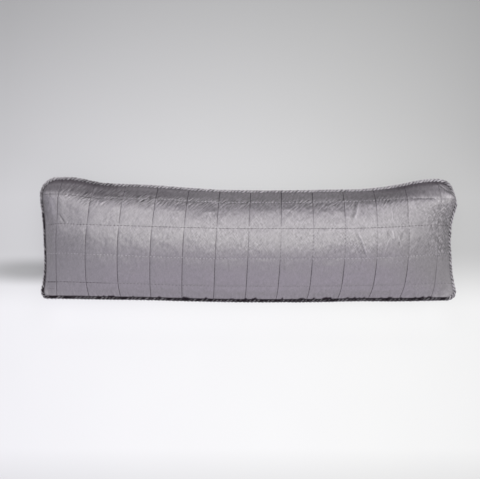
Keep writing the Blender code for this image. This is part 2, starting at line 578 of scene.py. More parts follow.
def store_map(piece: Piece, name: str, values: Array) -> None:
    """Stores a UV map on a piece: one pair for each corner of each face, in the faces' order."""
    layer = piece.data.uv_layers.new(name=name)
    layer.uv.foreach_set("vector", values.astype(np.float32).ravel())


# ---------------------------------------------------------------- finishes


class Weave(Enum):
    """How a satin cloth is worked: crinkled and quilted, or plain."""

    CRINKLED = "crinkled"
    PLAIN = "plain"


class Nodes:
    """The nodes of a material or a world, with a short way to add more."""

    def __init__(self, owner: bpy.types.ID) -> None:
        """Puts the nodes of a new material or world in use, and takes up its shader.

        Args:
            owner: the material or world.
        """
        owner.use_nodes = True
        self.tree = owner.node_tree
        kinds = ("BSDF_PRINCIPLED", "BACKGROUND")
        self.shader = next(node for node in self.tree.nodes if node.type in kinds)

    def feed(self, node: bpy.types.Node, inputs: dict) -> None:
        """Feeds a node's inputs, each by its name or number.

        Args:
            node: the node.
            inputs: for each input, a Value that it is joined to, or its own value.
        """
        for key, value in inputs.items():
            if isinstance(value, Value):
                self.tree.links.new(value.socket, node.inputs[key])
            else:
                node.inputs[key].default_value = value

    def add(self, kind: str, inputs: dict, output: int | str = 0, **settings: object) -> "Value":
        """Adds a node.

        Args:
            kind: the node's type, without "ShaderNode".
            inputs: what its inputs are fed, by name or number.
            output: name or number of the output that is wanted.
            settings: the node's own properties.

        Returns:
            The value of the wanted output.
        """
        node = self.tree.nodes.new("ShaderNode" + kind)
        for key, value in settings.items():
            setattr(node, key, value)
        self.feed(node, inputs)
        return Value(self, node.outputs[output])

    def attribute(self, name: str, output: str = "Fac") -> "Value":
        """Reads an attribute of the piece, as a number ("Fac") or a "Vector"."""
        settings = {"attribute_name": name, "attribute_type": "GEOMETRY"}
        return self.add("Attribute", {}, output, **settings)


@dataclass(frozen=True, eq=False)
class Value:
    """A number, vector or colour that a node gives, to be worked on by further nodes.

    Args:
        nodes: the nodes that it belongs to.
        socket: the output that gives it.
    """

    nodes: Nodes
    socket: bpy.types.NodeSocket

    def math(self, operation: str, other: object = 0.0) -> "Value":
        """The value after a named operation, which may take another value."""
        return self.nodes.add("Math", {0: self, 1: other}, operation=operation)

    def __add__(self, other: object) -> "Value":
        """The two values' sum."""
        return self.math("ADD", other)

    def __sub__(self, other: object) -> "Value":
        """The two values' difference."""
        return self.math("SUBTRACT", other)

    def __mul__(self, other: object) -> "Value":
        """The two values' product."""
        return self.math("MULTIPLY", other)

    def most(self, other: object) -> "Value":
        """The greater of the two values."""
        return self.math("MAXIMUM", other)

    def span(self, span: tuple, way: str = "LINEAR") -> "Value":
        """Maps the first two numbers of span onto its last two, clamped to them."""
        inputs = {"Value": self, **dict(enumerate(span, start=1))}
        return self.nodes.add("MapRange", inputs, interpolation_type=way)

    def parts(self) -> list["Value"]:
        """The vector's x, y and z."""
        split = self.nodes.add("SeparateXYZ", {0: self}).socket.node
        return [Value(self.nodes, output) for output in split.outputs]

    def stretched(self, scale: tuple) -> "Value":
        """The vector with each of its parts multiplied by its own scale."""
        return self.nodes.add("VectorMath", {0: self, 1: scale}, operation="MULTIPLY")

    def scaled(self, scale: object) -> "Value":
        """The colour or vector times a number."""
        return self.nodes.add("VectorMath", {0: self, "Scale": scale}, operation="SCALE")

    def mix(self, first: object, second: object) -> "Value":
        """Two colours mixed, with the value as the second one's share."""
        return self.nodes.add("Mix", {0: self, 6: first, 7: second}, 2, data_type="RGBA")

    def noise(self, detail: float) -> "Value":
        """Noise at the vector, from 0 to 1: cells of side 1, with finer ones on them."""
        return self.nodes.add("TexNoise", {"Vector": self, "Scale": 1.0, "Detail": detail}, "Fac")

    def strokes(self, stroke: tuple, detail: float) -> "Value":
        """Noise drawn out into strokes, as a value from 0 to 1.

        Args:
            stroke: the strokes' angle in degrees, and their length and width in metres.
            detail: how many finer noises lie on the first.

        Returns:
            The noise.
        """
        angle, length, width = stroke
        turn = {"Rotation": (0.0, 0.0, math.radians(angle)), "Scale": (length, width, 1.0)}
        turned = self.nodes.add("Mapping", {"Vector": self, **turn}, vector_type="TEXTURE")
        return turned.noise(detail)

    def bump(self, distance: float, under: "Value | None" = None) -> "Value":
        """Normal of a surface that the value times a distance raises, over an earlier normal."""
        inputs = {"Height": self, "Strength": 1.0, "Distance": distance}
        return self.nodes.add("Bump", inputs | ({"Normal": under} if under else {}), "Normal")

    def stops(self, places: list, colours: list) -> "Value":
        """Reads a colour between the stops of a ramp, with the value from 0 to 1.

        Args:
            places: place of each stop.
            colours: colour of each stop.

        Returns:
            The colour.
        """
        colour = self.nodes.add("ValToRGB", {0: self})
        stops = colour.socket.node.color_ramp.elements
        stops[0].position, stops[1].position = places[0], places[-1]
        for place in places[1:-1]:
            stops.new(place)
        for stop, shade in zip(stops, colours):
            stop.color = (*shade, 1.0)
        return colour


# Where most of a noise's values lie.
NOISE_RANGE = (0.3, 0.7)


@dataclass(frozen=True)
class SatinFinish:
    """Satin cloth: smooth threads with a soft shine, slubs, a crinkle and pressed folds, with
    painted highlights and shade.

    Args:
        name: name of the material.
        weave: whether the cloth is crinkled and quilted, or plain.
        light: colour of the cloth where its threads lie flat.
        deep: colour between the threads and in the folds.
        metallic: how much of the light the threads send back as coloured shine.
        roughness: mean roughness.
        slub_height: height of the thick places in the thread.
        stroke_height: height of the crinkle's strokes.
        line_half: half the width of the painted shade in a quilting line.
        line_core: share of that width which is fully dark.
        line_uneven: strength that the painted shade of a line keeps where it is weakest.
        dash_pitch: distance from one dash of painted shade in a line to the next.
        dash_edge: where a dash starts and is complete, as shares of the pitch.
        dash_gap: strength of the painted shade between two dashes.
        stroke_tone: how much the painted sheen of the crinkle's strokes lightens and darkens the
            cloth.
        fold_tone: how much the painted highlight or shade of a pressed fold lightens or darkens
            it.
        pucker_tone: how much the painted highlight and shade of a pucker beside a line do.
        gather_tone: how much the painted highlight and shade of the fine gathers beside the upper
            line do.
        gather_height: height of the fine gathers.
        slub_scale: cells of the slubs' noise in a metre of cloth, each way.
        streak_scale: cells of the streaks' noise, the same.
        patch_scale: cells of the noise that changes the roughness, the same.
        uneven_scale: cells of the noise that makes the lines' painted shade uneven, the same.
        rough_range: how far the roughness goes below and above its mean.
        worn_rough: how much rougher the cloth is at the rim.
        painted_shade: colour of the painted shade in the quilting lines and the seam.
        ditch_rough: how much rougher a quilting line is.
        thread_scale: how fine the threads are.
        thread_height: height of a thread.
        forward: angle in degrees, and length and width in metres, of the forward strokes.
        backward: the same for the strokes that cross them.
        upright: the same for the strokes up the pillow.
        upright_share: height of those, as a share of the others' height.
        pleats: the same three values for the fine gathers.
    """

    name: str
    weave: Weave
    light: tuple = (0.292, 0.276, 0.292)
    deep: tuple = (0.215, 0.203, 0.216)
    metallic: float = 0.90
    roughness: float = 0.36
    slub_height: float = 0.00006
    stroke_height: float = 0.00046
    line_half: float = 0.0015
    line_core: float = 0.2
    line_uneven: float = 0.85
    dash_pitch: float = 0.0112
    dash_edge: tuple = (0.12, 0.22)
    dash_gap: float = 0.15
    stroke_tone: float = 0.18
    fold_tone: float = 0.40
    pucker_tone: float = 0.14
    gather_tone: float = 0.78
    gather_height: float = 0.0011
    slub_scale: tuple = (45.0, 1300.0, 1.0)
    streak_scale: tuple = (520.0, 38.0, 1.0)
    patch_scale: tuple = (28.0, 34.0, 1.0)
    uneven_scale: tuple = (95.0, 95.0, 1.0)
    rough_range: tuple = (-0.04, 0.05)
    worn_rough: float = 0.06
    painted_shade: tuple = (0.026, 0.017, 0.026)
    ditch_rough: float = 0.3
    thread_scale: float = 420.0
    thread_height: float = 0.00003
    forward: tuple = (54.0, 0.0170, 0.0033)
    backward: tuple = (124.0, 0.0160, 0.0033)
    upright: tuple = (84.0, 0.0240, 0.0048)
    upright_share: float = 0.4
    pleats: tuple = (50.0, 0.0220, 0.0036)

    def line_depth(self, place: Value) -> Value:
        """How far a place lies in the painted shade of the nearest line across one direction.

        Args:
            place: place in that direction, in metres.

        Returns:
            0 beside the line to 1 in its middle.
        """
        squares = place.math("DIVIDE", PillowForm.square) - PillowForm.first_line
        away = squares.math("PINGPONG", 0.5) * PillowForm.square
        return away.span((self.line_half, self.line_core * self.line_half, 0, 1), "SMOOTHSTEP")

    def lines(self, cloth: Value) -> Value:
        """How strong the painted shade of a quilting line or of the seam is at a place.

        Args:
            cloth: place on the cloth, in metres.

        Returns:
            1 in the middle of a line or of the seam, 0 beside it.
        """
        # Painted shade in the lines, in dashes between the stitches and uneven along them, and in
        # the seam.
        cross_shade, row_shade, seam = cloth.nodes.attribute("painted_line_shade", "Vector").parts()
        x, y, _ = cloth.parts()
        uneven = cloth.stretched(self.uneven_scale).noise(2.0)
        start, full = (self.dash_pitch * edge for edge in self.dash_edge)
        dash = x.math("PINGPONG", 0.5 * self.dash_pitch).span((start, full, self.dash_gap, 1.0))
        line = (self.line_depth(x) * cross_shade).most(self.line_depth(y) * dash * row_shade)
        return (line * uneven.span((0.35, 0.65, self.line_uneven, 1.0))).most(seam)

    def grain(self, cloth: Value) -> tuple[Value, Value]:
        """The threads: a fine twill, with slubs along the cloth and streaks up it.

        Args:
            cloth: place on the cloth, in metres.

        Returns:
            The colour and the normal.
        """
        slub = cloth.stretched(self.slub_scale).noise(3.0)
        streak = cloth.stretched(self.streak_scale).noise(2.0)
        share = (slub * 0.5 + streak * 0.5).span((*NOISE_RANGE, 0.0, 1.0))
        kind = {"wave_type": "BANDS", "bands_direction": "DIAGONAL"}
        threads = {"Vector": cloth, "Scale": self.thread_scale, "Distortion": 1.5}
        normal = cloth.nodes.add("TexWave", threads, "Fac", **kind).bump(self.thread_height)
        for noise in (slub, streak):
            normal = noise.bump(self.slub_height, normal)
        return share.mix((*self.deep, 1.0), (*self.light, 1.0)), normal

    def crinkle(self, cloth: Value, normal: Value) -> tuple[Value, Value]:
        """The crinkle's strokes, which cross each other.

        Args:
            cloth: place on the cloth, in metres.
            normal: normal of the threads.

        Returns:
            The new normal, and the strokes' painted sheen, as how much lighter or darker the cloth
            is.
        """
        share = cloth.nodes.attribute("crinkle")
        forward, backward = (cloth.strokes(way, 1.5) for way in (self.forward, self.backward))
        crossed = forward.most(backward) + cloth.strokes(self.upright, 1.0) * self.upright_share
        normal = (crossed * share * self.stroke_height).bump(1.0, normal)
        # Painted sheen: the cloth is lighter along one set of strokes and darker along the other.
        tone = (forward - backward).span((-0.3, 0.3, -1.0, 1.0))
        return normal, tone * share * self.stroke_tone

    def folds(self, cloth: Value, normal: Value) -> tuple[Value, Value]:
        """The pressed folds, times exp(-q^2) at q widths from the middle, and the fine gathers.

        Args:
            cloth: place on the cloth, in metres.
            normal: normal of the crinkled cloth.

        Returns:
            The new normal, and the painted highlights and shade of the folds, puckers and gathers.
        """
        nodes = cloth.nodes
        across, height, tone = nodes.attribute("fold", "Vector").parts()
        bell = (across * across * -1.0).math("EXPONENT")
        pleats = cloth.strokes(self.pleats, 1.0).span((*NOISE_RANGE, -1.0, 1.0))
        pleats = pleats * nodes.attribute("gather")
        normal = (bell * height + pleats * self.gather_height).bump(1.0, normal)
        # Painted highlights and shade: folds, puckers and gathers are lighter or darker in colour
        # as light would fall on them.
        tone = bell * tone * self.fold_tone + nodes.attribute("pucker") * self.pucker_tone
        return normal, tone + pleats * self.gather_tone

    def material(self) -> bpy.types.Material:
        """Builds the material from the piece's own attributes, "cloth" and the others.

        Returns:
            The finished material.
        """
        material = bpy.data.materials.new(self.name)
        nodes = Nodes(material)
        cloth = nodes.attribute("cloth", "Vector")
        shade, normal = self.grain(cloth)
        ends = (self.roughness + part for part in self.rough_range)
        rough = cloth.stretched(self.patch_scale).noise(3.0).span((*NOISE_RANGE, *ends))
        rough = rough + nodes.attribute("worn") * self.worn_rough
        normal, tone = self.crinkle(cloth, normal)
        if self.weave is Weave.CRINKLED:
            normal, fold_tone = self.folds(cloth, normal)
            tone = tone + fold_tone
        shade = shade.scaled(tone + 1.0)
        if self.weave is Weave.CRINKLED:
            # Painted shade in the quilting lines and the seam.
            line = self.lines(cloth)
            shade = line.mix(shade, (*self.painted_shade, 1.0))
            rough = rough + line * self.ditch_rough
        nodes.feed(nodes.shader, {"Base Color": shade, "Roughness": rough, "Normal": normal})
        nodes.feed(nodes.shader, {"Metallic": self.metallic, "Specular IOR Level": 0.5})
        nodes.feed(nodes.shader, {"Sheen Weight": 0.05, "Sheen Roughness": 0.4})
        return material


@dataclass(frozen=True)
class YarnFinish:
    """Twisted yarn, for the cord and the sewing thread.

    Args:
        name: name of the material.
        light: colour of the yarn where no shade is painted, as on the crests of the strands.
        deep: colour of full painted shade, as in the grooves between the strands.
        metallic: how much of the light comes back as coloured shine.
        roughness: mean roughness.
        fibre_height: height of the single fibres.
        fibre_tone: brightness of the darkest and the lightest fibres.
        fibre_scale: cells of the fibres' noise, along and across the yarn's map.
        fleck_scale: cells of the noise that changes the roughness, the same.
        rough_range: how far the roughness goes below and above its mean.
    """

    name: str
    light: tuple = (0.56, 0.535, 0.565)
    deep: tuple = (0.010, 0.006, 0.010)
    metallic: float = 0.25
    roughness: float = 0.40
    fibre_height: float = 0.00025
    fibre_tone: tuple = (0.72, 1.15)
    fibre_scale: tuple = (9.0, 120.0, 1.0)
    fleck_scale: tuple = (2.0, 60.0, 1.0)
    rough_range: tuple = (-0.08, 0.1)

    def material(self) -> bpy.types.Material:
        """Builds the material from the piece's own "yarn" map and its painted shade attribute.

        Returns:
            The finished material.
        """
        material = bpy.data.materials.new(self.name)
        nodes = Nodes(material)
        yarn = nodes.add("UVMap", {}, uv_map="yarn")
        # Painted shade: the colour goes from light to deep by the shade painted on each point.
        shade = nodes.attribute("painted_shade").mix((*self.light, 1.0), (*self.deep, 1.0))
        fibre = yarn.stretched(self.fibre_scale).noise(2.0)
        shade = shade.scaled(fibre.span((*NOISE_RANGE, *self.fibre_tone)))
        ends = (self.roughness + part for part in self.rough_range)
        rough = yarn.stretched(self.fleck_scale).noise(3.0).span((*NOISE_RANGE, *ends))
        normal = fibre.bump(self.fibre_height)
        nodes.feed(nodes.shader, {"Base Color": shade, "Roughness": rough, "Normal": normal})
        shine = {"Metallic": self.metallic, "Specular IOR Level": 0.15, "Sheen Weight": 0.03}
        nodes.feed(nodes.shader, shine)
        return material


# ---------------------------------------------------------------- cushion


@dataclass(frozen=True)
class Crease:
    """A fold in the cloth.

    Args:
        along_from: start, in squares along.
        up_from: start, in squares up.
        along_to: end, in squares along.
        up_to: end, in squares up.
        width: half its width.
        height: height of the ridge, or depth of the trough where it is negative.
        tone: painted highlight along the fold (up to 1) or painted shade (down to -1).
    """

    along_from: float
    up_from: float
    along_to: float
    up_to: float
    width: float
    height: float
    tone: float

    def place(self, along: Array, up: Array, square: float) -> tuple[Array, Array]:
        """Where each place lies across the fold.

        Args:
            along: squares along.
            up: squares up.
            square: side of a square.

        Returns:
            Distance from the fold's middle over its width, and how strong the fold is there.
        """
        run = np.array((self.along_to - self.along_from, self.up_to - self.up_from)) * square
        length = np.hypot(*run)
        x, y = (along - self.along_from) * square, (up - self.up_from) * square
        share = (x * run[0] + y * run[1]) / length**2
        off = (x * run[1] - y * run[0]) / length
        near = np.abs(off) < 4 * self.width
        fade = ramp(-0.15, 0.25, share) * ramp(1.15, 0.75, share)
        return off / self.width, fade * near


@dataclass(frozen=True)
class PuckerBand:
    """A band of small slanted puckers beside a line along the pillow.

    Args:
        up: the line, in squares up.
        along_from: where the band starts, in squares along.
        along_to: where it ends.
        below: how far the puckers reach below the line.
        above: how far they reach above it.
        pitch: distance from one pucker to the next.
        slant: how far a pucker runs along the line for each metre away from it.
        height: height of a pucker.
    """

    up: float
    along_from: float
    along_to: float
    below: float
    above: float
    pitch: float
    slant: float
    height: float


CREASES = (
    Crease(9.99, 3.50, 9.82, 2.80, 0.0032, 0.0007, 0.9),
    Crease(9.89, 3.50, 9.72, 2.84, 0.0040, -0.0006, -0.8),
    Crease(9.90, 2.36, 10.22, 1.52, 0.0026, 0.0006, 0.7),
    Crease(9.82, 2.34, 10.14, 1.56, 0.0034, -0.0005, -0.5),
    Crease(10.98, 3.12, 10.99, 2.68, 0.0028, 0.0006, 0.7),
    Crease(10.95, 2.42, 11.03, 2.08, 0.0034, 0.0008, 0.8),
    Crease(10.86, 2.08, 10.73, 1.68, 0.0030, 0.0006, 0.6),
    Crease(10.80, 2.34, 10.90, 2.14, 0.0034, -0.0005, -0.5),
    Crease(11.69, 1.88, 11.60, 1.60, 0.0028, 0.0004, 0.3),
    Crease(11.30, 2.30, 11.14, 1.76, 0.0050, -0.0006, -0.4),
    Crease(11.16, 2.16, 11.26, 1.80, 0.0030, 0.0005, 0.5),
    Crease(0.57, 2.84, 0.78, 2.52, 0.0023, -0.0005, -1.0),
    Crease(0.52, 2.82, 0.68, 2.58, 0.0022, 0.0002, 0.3),
    Crease(1.62, 3.98, 1.38, 3.45, 0.0050, 0.0010, 0.5),
    Crease(1.44, 3.90, 1.22, 3.48, 0.0050, -0.0009, -0.6),
    Crease(12.42, 3.95, 12.92, 3.66, 0.0024, -0.0007, -0.9),
    Crease(0.30, 3.40, 0.41, 2.78, 0.0070, 0.0, 0.85),
    Crease(0.08, 3.48, 0.13, 2.70, 0.0065, 0.0, -0.55),
    Crease(0.16, 3.66, 0.19, 3.42, 0.0020, 0.0003, 0.50),
    Crease(0.25, 3.62, 0.28, 3.38, 0.0018, -0.0003, -0.50),
    Crease(0.36, 3.60, 0.39, 3.30, 0.0018, 0.0003, 0.45),
    Crease(12.58, 3.62, 12.90, 3.58, 0.0065, 0.0, 0.55),
    Crease(0.10, 0.50, 0.48, 0.50, 0.0021, -0.0004, -0.9),
    Crease(0.15, 0.26, 0.42, 0.24, 0.0016, -0.0002, -0.5),
    Crease(7.62, 1.48, 7.66, 1.05, 0.0030, -0.0003, -0.3),
    Crease(5.90, 1.45, 5.94, 1.00, 0.0030, -0.0003, -0.3),
)

PUCKERS = (
    PuckerBand(3.5, 0.9, 9.8, 0.030, 0.012, 0.0135, 0.70, 0.0014),
    PuckerBand(3.5, 0.6, 12.4, 0.012, 0.012, 0.0090, 0.30, 0.0007),
    PuckerBand(2.5, 0.6, 12.4, 0.010, 0.010, 0.0100, 0.30, 0.0005),
    PuckerBand(1.5, 0.6, 12.4, 0.010, 0.010, 0.0090, -0.30, 0.0005),
    PuckerBand(0.5, 0.6, 12.4, 0.008, 0.008, 0.0100, 0.20, 0.0003),
    PuckerBand(0.0, 0.3, 12.7, 0.001, 0.018, 0.0130, -0.25, 0.0010),
    PuckerBand(4.0, 0.5, 12.5, 0.022, 0.001, 0.0140, 0.40, 0.0011),
    PuckerBand(3.5, 10.4, 12.2, 0.018, 0.012, 0.0125, 0.60, 0.0008),
)


@dataclass(frozen=True)
class ThreadLine:
    """How a line of stitches shows.

    Args:
        up: the line, in squares up; None for the lines that cross the pillow.
        shade: painted shade on the thread, from 0 to 1; the same thread is painted darker on the
            lines that lie in shade.
        lift: height of the thread's middle above the cloth.
        painted_shade: how dark the painted shade of the cloth is between the stitches, from 0 to
            1.
        left_fade: how much more painted shade the thread has at the left end.
        right_fade: how much more painted shade it has near the right end.
    """

    up: float | None
    shade: float
    lift: float
    painted_shade: float
    left_fade: float = 0.0
    right_fade: float = 0.0


# Painted shade of each line's thread and of the cloth between its stitches: the same thread is
# light on some lines and painted dark on others.
THREAD_LINES = (
    ThreadLine(0.5, 0.45, 0.0003, 0.45, 0.75),
    ThreadLine(1.5, 0.20, 0.0006, 0.20, 0.10),
    ThreadLine(2.5, 0.92, 0.0003, 0.30),
    ThreadLine(3.5, 0.00, 0.0008, 0.45, 0.80, 0.60),
    ThreadLine(None, 0.80, 0.0, 1.00),
)


# How strong the painted shade of the lines that cross the pillow is over its two halves, from 0 to
# 1.
PAINTED_CROSS_LINE_SHADE = (
    Sides(0.0, 0.95, 0.95),
    Sides(1.3, 0.90, 0.80),
    Sides(1.6, 0.80, 0.10),
    Sides(2.2, 0.80, 0.10),
    Sides(2.5, 0.10, 0.00),
    Sides(2.8, 0.75, 0.30),
    Sides(3.1, 0.85, 0.75),
    Sides(3.4, 0.90, 1.00),
    Sides(4.0, 1.00, 1.00),
)


@dataclass(frozen=True)
class EdgeRoll:
    """How the filling rounds out the cloth beside the upper line.

    Args:
        along: place, in squares from the left end.
        up: middle of the roll, in squares up.
        height: height of the roll above the smooth form.
    """

    along: float
    up: float
    height: float


EDGE_ROLLS = (
    EdgeRoll(0.0, 3.56, 0.0060),
    EdgeRoll(0.6, 3.49, 0.0112),
    EdgeRoll(1.5, 3.43, 0.0104),
    EdgeRoll(2.2, 3.42, 0.0096),
    EdgeRoll(3.0, 3.41, 0.0070),
    EdgeRoll(4.0, 3.39, 0.0040),
    EdgeRoll(5.0, 3.38, 0.0020),
    EdgeRoll(6.0, 3.38, 0.0024),
    EdgeRoll(7.0, 3.40, 0.0030),
    EdgeRoll(8.0, 3.40, 0.0014),
    EdgeRoll(9.0, 3.40, 0.0),
    EdgeRoll(9.8, 3.39, 0.0036),
    EdgeRoll(10.5, 3.40, 0.0072),
    EdgeRoll(11.5, 3.50, 0.0098),
    EdgeRoll(12.2, 3.49, 0.0118),
    EdgeRoll(12.6, 3.54, 0.0124),
    EdgeRoll(13.0, 3.62, 0.0060),
)


@dataclass(frozen=True)
class Swell:
    """A rounded swelling of the cloth at a corner.

    Args:
        along: its middle, in squares along.
        up: its middle, in squares up.
        reach_along: its reach along the pillow, in squares.
        reach_up: its reach across the pillow, in squares.
        height: its height above the smooth form.
    """

    along: float
    up: float
    reach_along: float
    reach_up: float
    height: float


SWELLS = (
    Swell(12.86, 3.53, 0.17, 0.24, 0.0145),
    Swell(12.84, 3.18, 0.20, 0.22, 0.0060),
    Swell(0.18, 3.54, 0.16, 0.20, 0.0060),
)

# Heights of the rolls beside the first and the last cross line.
END_ROLLS = (
    Sides(0.0, 0.0, 0.0),
    Sides(1.0, 0.0010, 0.0010),
    Sides(2.0, 0.0030, 0.0015),
    Sides(2.7, 0.0050, 0.0010),
    Sides(3.2, 0.0060, 0.0035),
    Sides(3.6, 0.0040, 0.0065),
    Sides(4.0, 0.0, 0.0),
)

# The crinkle: strokes that cross each other, with a fine mottle, and where they are stronger.
CRINKLE = (
    NoiseWaves((0.82, -0.57), (0.20, 0.29), 0.010, 61, 0.00030),
    NoiseWaves((0.87, 0.50), (-0.15, 0.26), 0.007, 62, 0.00022),
    NoiseWaves((1.0, 0.0), (0.0, 1.0), 0.006, 63, 0.00010),
)
CRINKLED_ROWS = SoftPatch(0.55, y_edges=((0.9, 1.7), (4.0, 3.2)))

# The deeper strokes at the right end, and the slow waves all over.
END_STROKES = NoiseWaves((0.8, 0.6), (-0.3, 0.3), 0.008, 64, 0.0016)
END_CRINKLE = SoftPatch(1.0, ((11.9, 12.5),), ((1.2, 1.8), (3.5, 2.9)))
SLOW_WAVES = NoiseWaves((1.0, 0.0), (0.0, 1.0), 0.055, 66, 0.0011)

# Where the material's own crinkle is stronger than its least share.
CRINKLE_PATCHES = (
    SoftPatch(0.56, y_edges=((1.0, 2.0),)),
    SoftPatch(0.55, ((3.5, 5.5), (11.5, 9.5)), ((1.2, 2.0),)),
)
END_CRINKLE_SHARE = SoftPatch(1.9, ((11.9, 12.6),), ((1.2, 1.8), (3.6, 3.0)))

# Where the painted shade of the lines that cross the pillow is weaker (below 0) or stronger.
CROSS_PATCHES = (
    SoftPatch(-0.7, ((10.9, 11.4),), ((3.62, 3.34), (1.0, 1.6))),
    SoftPatch(-0.5, ((11.9, 12.3),), ((3.85, 3.60),)),
    SoftPatch(0.7, ((2.6, 3.4), (12.1, 11.7)), ((3.20, 3.45),)),
)

# The painted shade of the upper line along the pillow: what its ends add, and what is lost near
# the right end.
UPPER_LINE_ENDS = (
    SoftPatch(0.40, ((2.4, 1.6),), ((3.0, 3.3),)),
    SoftPatch(0.40, ((12.45, 12.6),), ((3.0, 3.3),)),
)
UPPER_LINE_LOSS = SoftPatch(-0.9, ((10.9, 11.4), (12.55, 12.4)), ((3.0, 3.3),))


@dataclass
class QuiltedCushion:
    """The filled cushion: a quilted satin face and a plain satin back that meet at the seam.

    Args:
        form: the pillow's form.
        face_steps: grid steps in a square on the face.
        rest_steps: grid steps in a square while the cloth settles.
        puff: height of a square's middle above the smooth form.
        groove: depth of a line that crosses the pillow, below the smooth form.
        row_share: depth of a line along the pillow, as a share of that.
        groove_width: half the width of the groove.
        seam_reach: how far the rim reaches into the cord.
        seam_lift: how far the rim is lifted there.
        seam_fade: distance from the seam in which both fade.
        roll_reach: reach of the roll beside the upper line towards the seam, in squares.
        roll_inward: reach of that roll towards the middle, in squares.
        end_roll_along: middle of the rolls at the two ends, in squares from the end.
        end_roll_reach: reach of those rolls, in squares.
        most_move: the furthest that the settling cloth may move.
        frames: frames in which the cloth settles.
        pressure: the filling's pressure meanwhile.
        swell: share by which the cloth grows meanwhile.
        stir: height of the waves that it starts with.
        line_hold: how firmly the quilting lines are held, from 0 to 1.
        back_pitch: distance from one soft fold of the back to the next.
        back_gather: height of those folds.
        back_waves: height of the back's slow waves.
        face_grid: the built face's points, which the stitches follow.
    """

    form: PillowForm
    face_steps: int = 38
    rest_steps: int = 18
    puff: float = 0.0008
    groove: float = 0.0004
    row_share: float = 0.35
    groove_width: float = 0.0018
    seam_reach: float = 0.0052
    seam_lift: float = 0.0032
    seam_fade: float = 0.012
    roll_reach: float = 0.30
    roll_inward: float = 0.45
    end_roll_along: float = 0.48
    end_roll_reach: float = 0.24
    most_move: float = 0.004
    frames: int = 20
    pressure: float = 4.0
    swell: float = 0.0010
    stir: float = 0.0006
    line_hold: float = 0.8
    back_pitch: float = 0.021
    back_gather: float = 0.0012
    back_waves: float = 0.0025
    face_grid: Array | None = field(default=None, init=False)

    def places(self, steps: int) -> list[Array]:
        """Squares along and up of a grid with so many steps in a square."""
        sides = (self.form.squares_along, self.form.squares_up)
        return np.meshgrid(*(np.linspace(0, n, n * steps + 1) for n in sides), indexing="ij")

    def settled(self, start: Array, held: Array) -> Array:
        """Lets a sheet of cloth settle under the filling's pressure, and reads how it moved.

        Args:
            start: grid of the sheet's points before it settles.
            held: how firmly each point is held, from 0 to 1.

        Returns:
            The movement of each point, no further than most_move.
        """
        index = np.arange(held.size).reshape(held.shape)
        sheet = link_mesh("sheet_at_work", start.reshape(-1, 3), grid_quads(index))
        group = sheet.vertex_groups.new(name="held")
        for weight in np.unique(held[held > 0]):
            group.add(index[held == weight].tolist(), float(weight), "REPLACE")
        modifier = sheet.modifiers.new("cloth", "CLOTH")
        cloth = modifier.settings
        cloth.quality, cloth.mass, cloth.bending_stiffness = 6, 0.25, 0.12
        cloth.vertex_group_mass = "held"
        cloth.shrink_min = -self.swell
        cloth.use_pressure = True
        cloth.uniform_pressure_force = self.pressure
        cloth.effector_weights.gravity = 0.0
        modifier.collision_settings.use_collision = False
        modifier.point_cache.frame_start = 1
        modifier.point_cache.frame_end = self.frames
        scene = bpy.context.scene
        for frame_number in range(1, self.frames + 1):
            scene.frame_set(frame_number)
        worked = sheet.evaluated_get(bpy.context.evaluated_depsgraph_get()).to_mesh()
        flat = np.empty(3 * held.size, dtype=np.float32)
        worked.vertices.foreach_get("co", flat)
        moved = flat.astype(float).reshape(start.shape) - start
        mesh = sheet.data
        bpy.data.objects.remove(sheet, do_unlink=True)
        bpy.data.meshes.remove(mesh)
        scene.frame_set(1)
        length = np.linalg.norm(moved, axis=-1, keepdims=True)
        mean, most = 1e3 * length.mean(), 1e3 * length.max()
        LOG.info("cloth settled by %.1f mm, %.1f mm at most", mean, most)
        return moved * np.minimum(1.0, self.most_move / np.maximum(length, 1e-9))

    def quilting(self, along: Array, up: Array) -> Array:
        """Height of the quilting: puff |sin sin|^0.5 - groove exp(-distance / width) at each line.

        Args:
            along: squares along.
            up: squares up.

        Returns:
            The height above the smooth face.
        """
        across, upward = self.form.to_line(along), self.form.to_line(up)
        dome = np.abs(np.sin(math.pi * across) * np.sin(math.pi * upward)) ** 0.5
        off_seam = ramp(0.0, 0.25, self.form.from_seam(along, up))
        return off_seam * (self.puff * dome - self.groove * self.ditches(along, up))

    def ditches(self, along: Array, up: Array) -> Array:
        """Depth of the quilting lines: exp(-distance / width) of whichever line is deeper there.

        Args:
            along: squares along.
            up: squares up.

        Returns:
            1 in a line, falling to 0 beside it.
        """
        away = (np.abs(self.form.to_line(place)) * self.form.square for place in (along, up))
        cross, row = (np.exp(-line / self.groove_width) for line in away)
        return np.maximum(cross, self.row_share * row)

    def puckers(self, along: Array, up: Array) -> Array:
        """Height of the puckers: sin(2 pi place / pitch) with a phase that wanders.

        Args:
            along: squares along.
            up: squares up.

        Returns:
            The height above the smooth face.
        """
        square = self.form.square
        total = np.zeros_like(along)
        for seed, band in enumerate(PUCKERS, start=40):
            away = (up - band.up) * square
            reach = np.where(away < 0, band.below, band.above)
            fade = np.exp(-((np.abs(away) / reach) ** 1.5))
            ends = ramp(band.along_from - 0.5, band.along_from + 0.3, along)
            ends = ends * ramp(band.along_to + 0.5, band.along_to - 0.3, along)
            x = along * square
            wander = 1.4 * soft_noise(x, away, 0.035, seed)
            wave = np.sin(2 * math.pi * (x - band.slant * away) / band.pitch + 2 * wander)
            strength = 0.45 + 0.55 * soft_noise(x - band.slant * away, away, 0.022, seed + 20)
            total += band.height * wave * np.clip(strength, 0.0, 0.75) * fade * ends
        return total

